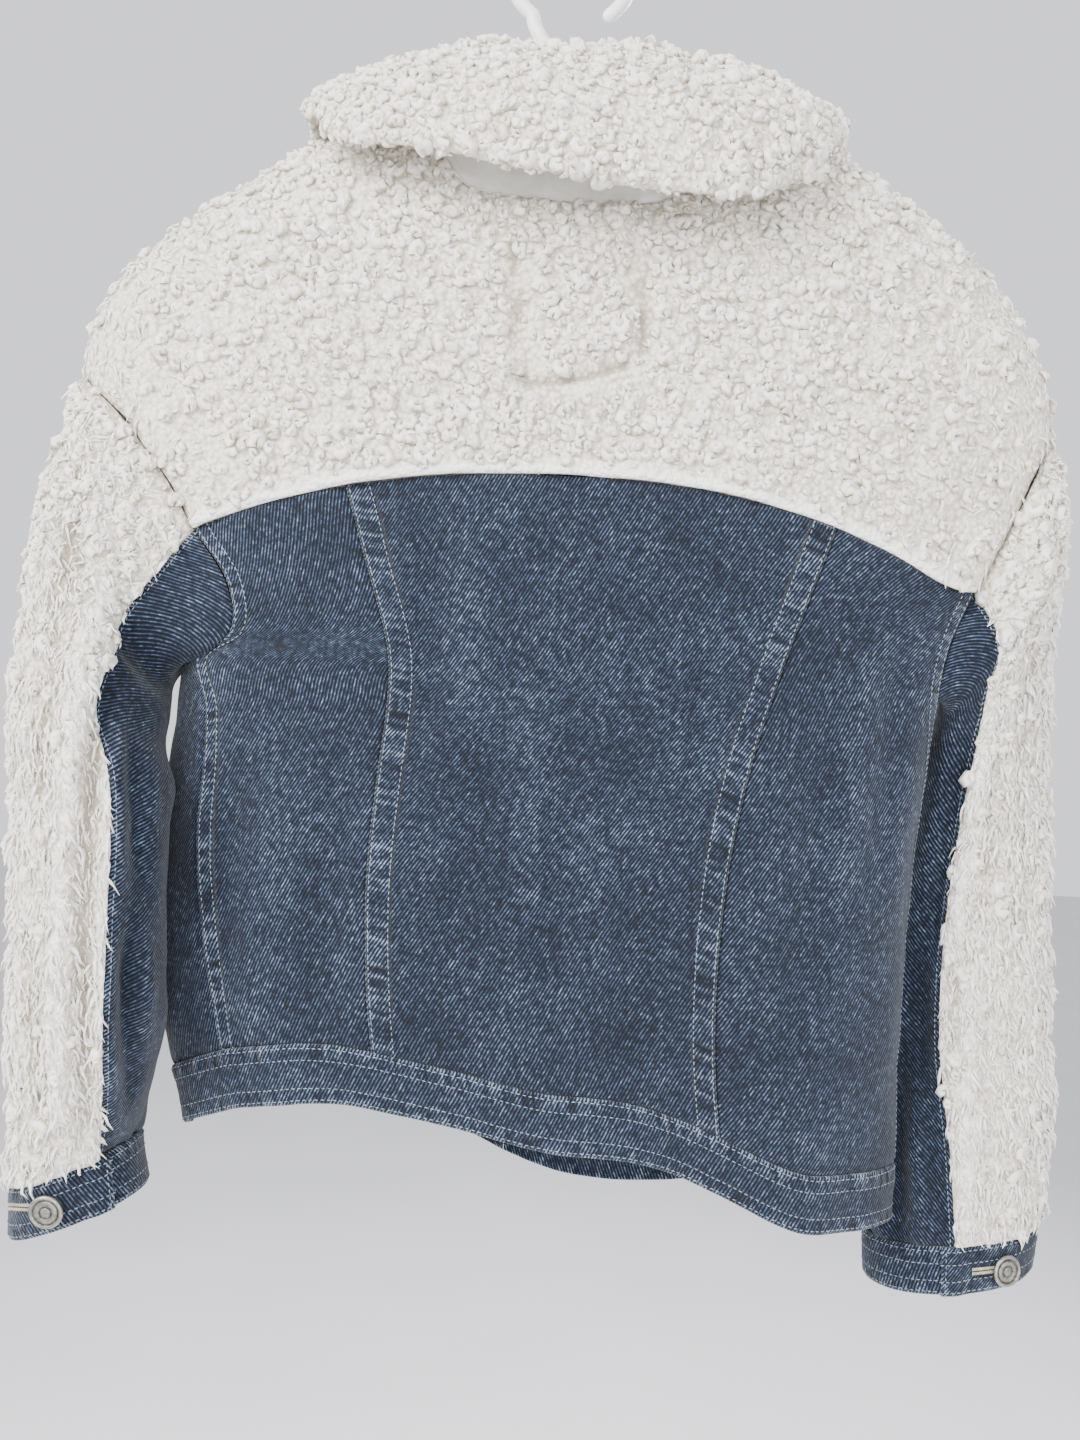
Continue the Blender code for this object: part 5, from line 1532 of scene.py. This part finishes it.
def build_yokes():
    """The sherpa yokes: one back with drop shoulders, and two fronts."""
    cloth = Cloth(patch(block("back"), places(YOKE_ROW, TOP_ROW, 84, 0.3), places(0, BACK_COUNT, 190, 0.2)))
    sewn = line_distance(cloth.points, YOKE_STITCHING)
    cloth.relief -= 0.0026 * np.exp(-((sewn / 0.0060) ** 2)) + 0.0016 * np.exp(-((sewn / 0.0022) ** 2))
    cloth.relief += 0.0016 * ripple(cloth.points, 0.045, 12)
    cloth.relief += 0.0012 * np.exp(-(((cloth.foot - 0.0022) / 0.0020) ** 2))
    # Paler along the foot, and painted shade in the stitched groove.
    cloth.wear = np.exp(-((cloth.foot / 0.005) ** 2)) - 0.7 * np.exp(-((sewn / 0.0022) ** 2))
    shag = 0.85 * ease(np.abs(cloth.points[..., 0] - SLID), 0.13, 0.25)
    sides = np.minimum(cloth.start, cloth.end)
    sunk(cloth, sides)
    cover = ease(sewn, 0.0038, 0.0068) * ease(cloth.foot, 0.0030, 0.0060) * ease(sides, 0.0015, 0.0043)
    nap("back_yoke", cloth, shag, (0.0, 0.0, -1.0), cover, seed=7)
    right_edge, left_edge = PLACKET_FROM - BACK_COUNT, LEFT_FRONT - BACK_COUNT
    for side, low, high, seed in (
        ("right", BOTTOM_SEGMENTS, right_edge, 17),
        ("left", left_edge, ROUND_COUNT - BACK_COUNT - BOTTOM_SEGMENTS, 27),
    ):
        cloth = Cloth(front_points(places(YOKE_ROW, TOP_ROW, 52, 0.3), places(low, high, 70, 0.2)))
        cloth.relief += 0.0014 * ripple(cloth.points, 0.045, seed)
        cloth.relief += 0.0012 * np.exp(-(((cloth.foot - 0.0022) / 0.0020) ** 2))
        cloth.wear = np.exp(-((cloth.foot / 0.005) ** 2))
        shag = 0.85 * ease(np.abs(cloth.points[..., 0] - SLID), 0.13, 0.25)
        cover = ease(cloth.foot, 0.0030, 0.0060) * ease(np.minimum(cloth.start, cloth.end), 0.0020, 0.0050)
        nap("front_yoke_" + side, cloth, shag, (0.0, 0.0, -1.0), cover, seed=seed)


def sleeve_cloth(side, rows, columns):
    """Cloth on a sleeve, where columns count round its ring from the shoulder's tip."""
    coarse = block("sleeve_" + side)
    count = coarse.shape[1]
    wrapped = np.take(coarse, np.arange(-9, count + 12) % count, axis=1)
    points = patch(wrapped, rows, columns + 9)
    centre = coarse.mean(axis=1)
    middle = smooth(rows, np.arange(len(coarse)), centre)[:, None]
    return Cloth(points, points - middle)


def build_sleeves():
    """Each sleeve: a sherpa upper and a denim under sleeve, seamed together at the back and the front."""
    half = UPPER_SEGMENTS // 2
    for side, creases, turn, seed in (
        ("left", LEFT_SLEEVE_CREASES, 1.45, 37),
        ("right", RIGHT_SLEEVE_CREASES, 1.15, 47),
    ):
        count, last = block("sleeve_" + side).shape[1], len(block("sleeve_" + side)) - 3
        cloth = sleeve_cloth(side, places(0, last, 170, 0.2), places(-half, half, 64, 0.2))
        cloth.relief += 0.0016 * ripple(cloth.points, 0.05, seed + 2) + 0.0013 * ripple(
            cloth.points, 0.012, seed + 5
        )
        cloth.crease(creases, 1.0)
        flow = unit(np.gradient(cloth.points, axis=0))
        shag = 0.66 + 0.30 * ease(cloth.foot, 0.0, 0.12)
        sunk(cloth, cloth.foot)
        cover = ease(cloth.foot, 0.0010, 0.0036) * ease(cloth.head, 0.0020, 0.0060)
        nap("upper_sleeve_" + side, cloth, shag, flow, cover, seed, brushed=True)
        cloth = sleeve_cloth(side, places(0, last, 120, 0.3), places(half, count - half, 44, 0.4))
        cloth.relief += 0.0009 * ripple(cloth.points, 0.04, seed + 3) + 0.0003 * ripple(
            cloth.points, 0.016, seed + 4
        )
        cloth.crease(creases, 1.0)
        gather = np.exp(-cloth.head / 0.016)
        cloth.relief += 0.0011 * gather * np.sin(cloth.u / 0.0036 + 2.0 * ripple(cloth.points, 0.03, seed))
        cloth.under(cloth.head, 0.0014)
        for measure in (cloth.start, cloth.end):
            cloth.relief -= 0.0004 * np.exp(-((measure / 0.0008) ** 2))
            cloth.worn(measure, 0.9, 0.0015)
            sew_beside(cloth, measure, 0.0022, 0)
        cloth.turn = turn
        piece = shell("under_sleeve_" + side, cloth, 0.0, DENIM_WALL, look("denim"))
        declare(piece, "under_sleeve_" + side)


def build_cuffs():
    """Doubled denim cuffs, each end lapped over the other at the seam to the back."""
    half = UPPER_SEGMENTS // 2
    for side in ("left", "right"):
        coarse = block("sleeve_" + side)
        first, count = len(coarse) - 3, coarse.shape[1]
        cloth = sleeve_cloth(
            side, places(first, first + 2, 18, 0.4), places(half, count + half + 0.5, 130, 0.0)
        )
        edges = np.minimum(cloth.foot, cloth.head)
        cloth.relief += 0.0004 * ripple(cloth.points, 0.018, 61) - 0.0009 * np.exp(-((edges / 0.0012) ** 2))
        cloth.relief += 0.0026 * (1 - ease(cloth.end, 0.006, 0.016))
        cloth.worn(edges, 1.2, 0.0013)
        cloth.worn(cloth.end, 1.1, 0.0013)
        cloth.roped(cloth.foot, cloth.u, 0.010, 0.9)
        cloth.roped(cloth.head, cloth.u, 0.010, 0.9)
        for measure, distance in (
            (cloth.foot, 0.0020), (cloth.foot, 0.0085), (cloth.head, 0.0020), (cloth.head, 0.0080)
        ):
            sew_beside(cloth, measure, distance, BAND_OUT, by_row=False)
        sew_beside(cloth, cloth.end, 0.0020, BAND_OUT)
        piece = shell("cuff_" + side, cloth, BAND_OUT, BAND_IN, look("denim"))
        declare(piece, "cuff_" + side)


def build_collar():
    """The sherpa fall, turned down over the shoulders, and the white cotton stand inside it."""
    width = block("fall").shape[1] - 1
    points = patch(block("fall"), np.linspace(0, FALL_ROWS, 31), np.linspace(0, width, 170))
    outward = (points - points[:1]) * np.array([1.0, 1.0, 0.0]) + np.array([0, 0, 1e-5])
    cloth = Cloth(points, outward)
    cloth.relief += 0.0018 * ripple(points, 0.045, 71) + 0.0006 * ripple(points, 0.014, 72)
    edges = np.minimum(np.minimum(cloth.start, cloth.end), np.minimum(cloth.foot, cloth.head))
    thick = FALL_HALF_WALL * np.sqrt(ease(edges, -0.0015, 0.005))
    piece = shell("collar_fall", cloth, thick, thick, look("ground"))
    marks = {
        "shag": np.zeros(len(piece.data.vertices)),
        "flow": np.tile((0.0, 0.0, -1.0), (len(piece.data.vertices), 1)),
    }
    half = points.shape[0] * points.shape[1]
    underside = np.arange(len(piece.data.vertices)) >= half
    near_edge = np.tile(ease(-cloth.head.ravel(), -0.012, -0.002), 2)
    marks["cover"] = np.where(underside, near_edge, 1.0)
    corners = np.array([tuple(p.vertices) for p in piece.data.polygons])
    places_of = np.array([v.co for v in piece.data.vertices])
    pile = grow_pile("collar_fall", places_of, corners, marks, seed=5)
    declare(piece, "collar_fall")
    stand = Cloth(patch(block("stand"), np.linspace(0.02, 3, 20), np.linspace(0, width, 170)))
    if stand.normals[0, stand.points.shape[1] // 2, 1] < 0:
        stand.normals = -stand.normals
    stand.relief += 0.0006 * ripple(stand.points, 0.03, 81) * ease(stand.foot, 0.0, 0.01)
    piece = shell("collar_stand", stand, 0.0, STAND_WALL, look("cotton"))
    declare(piece, "collar_stand")


# ---- hardware ------------------------------------------------------------------------------
# radius and height of the button's face and back, and how much tarnish its hollows hold
BUTTON_PROFILE = (
    (0.0000, 0.0046, 0.2),
    (0.0014, 0.0047, 0.1),
    (0.0023, 0.0046, 0.3),
    (0.0028, 0.0041, 1.0),
    (0.0033, 0.0044, 0.5),
    (0.0044, 0.0046, 0.1),
    (0.0056, 0.0045, 0.4),
    (0.0061, 0.0040, 1.0),
    (0.0066, 0.0044, 0.5),
    (0.0073, 0.0048, 0.0),
    (0.0080, 0.0046, 0.0),
    (0.0085, 0.0038, 0.2),
    (0.0084, 0.0029, 0.6),
    (0.0078, 0.0024, 0.9),
    (0.0036, 0.0021, 1.0),
    (0.0030, 0.0018, 1.0),
    (0.0030, 0.0000, 1.0),
    (0.0000, 0.0000, 1.0),
)


def button(name, place, normal):
    """A shank button with two rings pressed into its face, turned round its own middle."""
    steps = 36
    turns = np.arange(steps) * 2 * math.pi / steps
    rings, hollow = [], []
    for radius, height, tarnish in BUTTON_PROFILE[1:-1]:
        rings.append(
            np.stack([radius * np.cos(turns), radius * np.sin(turns), np.full(steps, height)], axis=-1)
        )
        hollow.append(np.full(steps, tarnish))
    points = np.concatenate(rings)
    faces = []
    for ring in range(len(rings) - 1):
        for n in range(steps):
            a, b = ring * steps + n, ring * steps + (n + 1) % steps
            faces.append((a, a + steps, b + steps, b))
    data = bpy.data.meshes.new(name)
    top, bottom = len(points), len(points) + 1
    points = np.concatenate([points, [(0, 0, BUTTON_PROFILE[0][1])], [(0, 0, 0)]])
    for n in range(steps):
        last = (len(rings) - 1) * steps
        faces.append((top, n, (n + 1) % steps))
        faces.append((bottom, last + (n + 1) % steps, last + n))
    up = Vector(normal)
    turn = up.to_track_quat("Z", "Y").to_matrix().to_4x4()
    data.from_pydata(points.tolist(), [], faces)
    values = np.concatenate([*hollow, [BUTTON_PROFILE[0][2], 1.0]]).astype(np.float32)
    data.attributes.new("hollow", "FLOAT", "POINT").data.foreach_set("value", values)
    data.transform(Matrix.Translation(Vector(place)) @ turn)
    mesh = bmesh.new()
    mesh.from_mesh(data)
    bmesh.ops.recalc_face_normals(mesh, faces=mesh.faces)
    mesh.to_mesh(data)
    mesh.free()
    data.shade_smooth()
    data.materials.append(look("pewter"))
    obj = bpy.data.objects.new(name + "_shank", data)
    bpy.context.scene.collection.objects.link(obj)
    return part_of(obj, "pewter", name)


def node_seat(node):
    """Where a button's CAD node sits on the cloth, and the way it faces."""
    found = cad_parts[node].data
    points = np.array([v.co for v in found.vertices])
    centre = points.mean(axis=0)
    _, _, axes = np.linalg.svd(np.unique(np.round(points, 6), axis=0) - centre)
    return points, centre, axes[2]


def build_buttons():
    """Five shank buttons down the placket and one on each cuff, each in its thread-bound buttonhole."""
    paths, ups = [], []
    for node in ["cuff_button_left", "cuff_button_right"] + [f"front_button_{n}" for n in range(1, 6)]:
        points, centre, axis = node_seat(node)
        if node.startswith("front"):
            axis = axis if axis[1] < 0 else -axis
        else:
            side = node.rsplit("_", 1)[1]
            coarse = block("sleeve_" + side)
            middle = smooth(np.array([CUFF_RING]), np.arange(len(coarse)), coarse.mean(axis=1))[0]
            axis = axis if float(axis @ (centre - middle)) > 0 else -axis
        seat = centre + axis * float(np.min((points - centre) @ axis))
        button(node, seat, axis)
        across = unit(np.cross(axis, np.array([0.0, 0.0, 1.0])))
        if node.startswith("front"):
            across = -across
        up = unit(np.cross(across, axis))
        for offset in (-0.0011, 0.0011):
            t = np.linspace(0.004, 0.0195, 14)[:, None]
            paths.append(seat + across * t + up * offset + axis * 0.0002)
            ups.append(np.tile(axis, (len(t), 1)))
    sew("buttonholes", paths, ups, "buttonhole", 0.00052, 0.0021, 0.00062, math.pi / 2)


def path_mesh(name, paths, ups):
    points, edges, total = [], [], 0
    for path in paths:
        points.append(path)
        edges += [(total + n, total + n + 1) for n in range(len(path) - 1)]
        total += len(path)
    data = bpy.data.meshes.new(name)
    data.from_pydata(np.concatenate(points).tolist(), edges, [])
    data.attributes.new("up", "FLOAT_VECTOR", "POINT").data.foreach_set(
        "vector", np.concatenate(ups).astype(np.float32).ravel()
    )
    obj = bpy.data.objects.new(name, data)
    bpy.context.scene.collection.objects.link(obj)
    return obj


def sew(name, paths, ups, thread, pitch, length, thickness, turn=0.0):
    obj = path_mesh(name, paths, ups)
    values = {
        "Pitch": pitch, "Length": length, "Thickness": thickness, "Turn": turn, "Material": look(thread)
    }
    run_tree(obj, stitch_tree(), values)
    return part_of(obj, "denim")


def build_stitching():
    sizes = bpy.context.scene.jacket_sizes
    paths, ups = zip(*SEWING)
    sew("topstitching", paths, ups, "thread", sizes.stitch_pitch, sizes.stitch_pitch * 0.74, 0.00062)


TUBE_SIDES = 18


def tube_mesh(path, radius, closed, sides=TUBE_SIDES):
    """Points and quads of a round rod along a path in the XZ plane."""
    path = np.asarray(path, float)
    ahead = np.roll(path, -1, axis=0) - np.roll(path, 1, axis=0)
    if not closed:
        ahead[0], ahead[-1] = path[1] - path[0], path[-1] - path[-2]
    ahead = unit(ahead)
    side = np.tile((0.0, 1.0, 0.0), (len(path), 1))
    up = np.cross(ahead, side)
    turns = np.arange(sides) * 2 * math.pi / sides
    points = path[:, None] + radius * (
        np.cos(turns)[None, :, None] * side[:, None] + np.sin(turns)[None, :, None] * up[:, None]
    )
    number = np.arange(len(path) * sides).reshape(len(path), sides)
    nxt = np.roll(number, -1, axis=0) if closed else number[1:]
    low = number if closed else number[:-1]
    quads = np.stack([low, np.roll(low, -1, axis=1), np.roll(nxt, -1, axis=1), nxt], axis=-1).reshape(-1, 4)
    return points.reshape(-1, 3), quads


def build_hanger():
    """A tubular hanger moulded in one: a hook, and a frame that runs down each shoulder to a bar."""
    centre = HANGER_RADIUS - HOOK_RADIUS
    turns = np.radians(np.linspace(-50, 235, 64))
    hook = [(-HOOK_RADIUS * math.cos(t), 0, centre + HOOK_RADIUS * math.sin(t)) for t in turns]
    last = hook[-1]
    for share in np.linspace(0.08, 1.0, 14):
        bend = share * share * (3 - 2 * share)
        hook.append((last[0] * (1 - bend), 0, last[2] + (HOOK_NECK_FOOT - last[2]) * share))
    at = np.linspace(0, len(HANGER_ARM) - 1, 90)
    x, z = (smooth(at, np.arange(len(HANGER_ARM)), column(HANGER_ARM, n)) for n in (0, 1))
    arm = [(float(a), 0.0, float(b)) for a, b in zip(x, z)]
    loop = arm + [(-a, b, c) for a, b, c in reversed(arm[1:-1])]
    mesh = bmesh.new()
    for path, closed in ((hook, False), (loop, True)):
        points, quads = tube_mesh(path, HANGER_RADIUS, closed)
        verts = [mesh.verts.new(p) for p in points]
        for quad in quads:
            mesh.faces.new([verts[n] for n in quad])
        if not closed:
            for ring, tip, before in ((verts[:TUBE_SIDES], 0, 1), (verts[-TUBE_SIDES:], -1, -2)):
                middle = Vector(np.mean([v.co for v in ring], axis=0))
                direction = Vector(np.array(path[tip]) - np.array(path[before])).normalized()
                lower = ring
                for share in (0.4, 0.75, 0.95):
                    out, scale = HANGER_RADIUS * share, math.sqrt(1 - share**2)
                    upper = [mesh.verts.new(middle + (v.co - middle) * scale + direction * out) for v in ring]
                    for n in range(TUBE_SIDES):
                        m = (n + 1) % TUBE_SIDES
                        mesh.faces.new([lower[n], lower[m], upper[m], upper[n]])
                    lower = upper
                mesh.faces.new(lower)
    bmesh.ops.recalc_face_normals(mesh, faces=mesh.faces)
    data = bpy.data.meshes.new("tubular_hanger")
    mesh.to_mesh(data)
    mesh.free()
    data.shade_smooth()
    data.materials.append(look("plastic"))
    obj = bpy.data.objects.new("tubular_hanger", data)
    bpy.context.scene.collection.objects.link(obj)
    part_of(obj, "white_plastic", "hanger")


# ---- stage ---------------------------------------------------------------------------------
FLOOR_HALF, FLOOR_HEIGHT = 9.0, -1.55
LENS, SENSOR_WIDTH = 32.4, 36  # millimetres
CAMERA_PLACE = (-0.0042, 0.70, -0.438)
CAMERA_ROLL = 3  # degrees
LIGHTS_FACE = (0, 0, -0.4)
# name, place, size in metres, watts
LIGHTS = (
    ("key", (1.15, 1.35, 0.55), 1.3, 96.0),
    ("fill", (-0.5, 1.7, -0.5), 1.6, 38.0),
    ("front_key", (-1.1, -1.4, 0.6), 1.0, 100.0),
    ("front_fill", (1.4, -1.2, -0.2), 1.6, 14.0),
)


def build_stage():
    """A pale floor under the hanging jacket, soft light from the upper left, and the camera behind it."""
    scene = bpy.context.scene
    for obj in [o for o in scene.objects if o.type in ("CAMERA", "LIGHT")]:
        bpy.data.objects.remove(obj)
    data = bpy.data.meshes.new("studio_floor")
    half, low = FLOOR_HALF, FLOOR_HEIGHT
    data.from_pydata(
        [(-half, -half, low), (half, -half, low), (half, half, low), (-half, half, low)], [], [(0, 1, 2, 3)]
    )
    data.materials.append(look("floor"))
    floor = bpy.data.objects.new("studio_floor", data)
    scene.collection.objects.link(floor)
    camera = bpy.data.objects.new("camera", bpy.data.cameras.new("camera"))
    camera.data.lens, camera.data.sensor_width = LENS, SENSOR_WIDTH
    camera.location = CAMERA_PLACE
    level = Vector((0.0, -1.0, 0.0)).to_track_quat("-Z", "Y")
    camera.rotation_mode = "QUATERNION"
    camera.rotation_quaternion = level @ Quaternion((0, 0, 1), math.radians(CAMERA_ROLL))
    scene.collection.objects.link(camera)
    scene.camera = camera
    world = bpy.data.worlds.new("pale_studio")
    world.use_nodes = True
    scene.world = world
    tree = world.node_tree
    tree.nodes["Background"].inputs["Color"].default_value = linear("d9dade")
    tree.nodes["Background"].inputs["Strength"].default_value = 1.75
    for name, place, size, watts in LIGHTS:
        light = bpy.data.objects.new(name, bpy.data.lights.new(name, "AREA"))
        light.data.size = size
        light.data.energy = watts
        light.location = place
        light.rotation_mode = "QUATERNION"
        light.rotation_quaternion = (Vector(LIGHTS_FACE) - Vector(place)).to_track_quat("-Z", "Y")
        scene.collection.objects.link(light)


# ---- the add-on ----------------------------------------------------------------------------
def length_property(name, description, default):
    return bpy.props.FloatProperty(
        name=name, description=description, default=default, min=0.0, precision=5, unit="LENGTH"
    )


def colour_property(name, description, code):
    return bpy.props.FloatVectorProperty(
        name=name, description=description, default=linear(code), size=4, min=0.0, max=1.0, subtype="COLOR"
    )


class JacketSizes(bpy.types.PropertyGroup):
    """Sizes of what is sewn and woven"""

    twill_pitch: length_property(
        "Twill pitch",
        "Between two ribs of the denim, measured level, drawn coarser than the real 1.5 mm so that it shows",
        0.0018,
    )
    stitch_pitch: length_property("Stitch pitch", "From one topstitch to the next", 0.0031)
    lock_spacing: length_property("Lock spacing", "Least distance between two locks of pile", 0.0043)
    lock_density: bpy.props.FloatProperty(
        name="Lock density", description="Locks of pile on a square metre", default=56000.0, min=0.0
    )
    strand_density: bpy.props.FloatProperty(
        name="Strand density", description="Brushed locks on a square metre", default=140000.0, min=0.0
    )
    strand_spacing: length_property("Strand spacing", "Least distance between two brushed locks", 0.0019)
    curl_radius: length_property("Curl radius", "Of a curl of the pile", 0.0027)
    curl_height: length_property("Curl height", "How far a curl stands off its ground", 0.0015)
    strand_length: length_property("Strand length", "Of a brushed lock of the pile", 0.0080)
    yarn_radius: length_property("Lock thickness", "Half the thickness of a lock at its root", 0.0024)


class JacketColours(bpy.types.PropertyGroup):
    """Colours of the cloths and trims"""

    denim_deep: colour_property("Denim, deepest", "Unfaded indigo in the hollows", "04060d")
    denim_dark: colour_property("Denim, dark", "Darker clouds of the wash", "0c101c")
    denim_mid: colour_property("Denim, middle", "Most of the cloth", "1b2639")
    denim_pale: colour_property("Denim, pale", "Lighter clouds of the wash", "404f67")
    denim_worn: colour_property("Denim, worn", "Edges and seams", "7d8894")
    # Painted shade: the warm grey given to the pile low down, where shade falls.
    sherpa_root_shade: colour_property("Sherpa, roots", "Deep in the pile", "ada191")
    sherpa_middle: colour_property("Sherpa, middle", "Half way up the pile", "e9e1d4")
    sherpa_tip: colour_property("Sherpa, tips", "The ends of the curls", "fcf9f4")
    cotton: colour_property("Cotton", "The collar's stand", "f1f0ec")
    cotton_shade: colour_property("Cotton, shaded", "Between the stand's threads", "dcdad4")
    thread: colour_property("Thread", "The topstitching", "8896a6")
    buttonhole: colour_property("Buttonhole thread", "Round the buttonholes", "bdb49c")
    pewter_bright: colour_property("Buttons, rubbed", "Raised rings of the buttons", "b5b1a8")
    pewter: colour_property("Buttons", "Plated face of the buttons", "8b8880")
    pewter_dark: colour_property("Buttons, hollows", "Tarnish between the rings", "45433f")
    plastic: colour_property("Hanger", "White plastic", "eeeeec")
    plastic_shade: colour_property("Hanger, scuffed", "Scuffs on the plastic", "dfdfdc")


def operator_class(key, label, text, *steps):
    """An operator that runs these steps, each of which raises an error if it can't finish."""

    def execute(self, context):
        for step in steps:
            step()
        return {"FINISHED"}

    return type(
        "JACKET_OT_" + key,
        (bpy.types.Operator,),
        {"bl_idname": "jacket." + key, "bl_label": label, "__doc__": text, "execute": execute},
    )


OPERATORS = (
    operator_class("stage", "Stage", "Sets the floor, the light and the camera", build_stage),
    operator_class("hanger", "Hanger", "Moulds the tubular hanger", build_hanger),
    operator_class(
        "body", "Denim body", "Sews the back panels, the fronts and the placket", build_back, build_fronts
    ),
    operator_class("waistband", "Waistband", "Sews the waistband on", build_waistband),
    operator_class("yokes", "Sherpa yokes", "Makes the back yoke and the front yokes", build_yokes),
    operator_class(
        "sleeves", "Sleeves", "Makes the sherpa upper sleeves and the denim under sleeves", build_sleeves
    ),
    operator_class("cuffs", "Cuffs", "Sews the cuffs on", build_cuffs),
    operator_class("collar", "Collar", "Makes the sherpa fall and the cotton stand", build_collar),
    operator_class("buttons", "Buttons", "Sets the shank buttons in their buttonholes", build_buttons),
    operator_class("stitching", "Topstitching", "Sews the rows of stitches", build_stitching),
)


class JACKET_PT_sidebar(bpy.types.Panel):
    """Lists the jacket's sizes, colours and steps"""

    bl_label = "Jacket"
    bl_idname = "JACKET_PT_sidebar"
    bl_space_type = "VIEW_3D"
    bl_region_type = "UI"
    bl_category = "Jacket"

    def draw(self, context):
        for group in (context.scene.jacket_sizes, context.scene.jacket_colours):
            box = self.layout.box()
            for name in group.__annotations__:
                box.prop(group, name)
        for kind in OPERATORS:
            self.layout.operator(kind.bl_idname)


CLASSES = (JacketSizes, JacketColours, *OPERATORS, JACKET_PT_sidebar)


def register():
    for kind in CLASSES:
        bpy.utils.register_class(kind)
    bpy.types.Scene.jacket_sizes = bpy.props.PointerProperty(type=JacketSizes)
    bpy.types.Scene.jacket_colours = bpy.props.PointerProperty(type=JacketColours)


def unregister():
    del bpy.types.Scene.jacket_sizes
    del bpy.types.Scene.jacket_colours
    for kind in reversed(CLASSES):
        bpy.utils.unregister_class(kind)


def main():
    register()
    for kind in OPERATORS:
        section, name = kind.bl_idname.split(".")
        getattr(getattr(bpy.ops, section), name)()


if __name__ == "__main__":
    main()
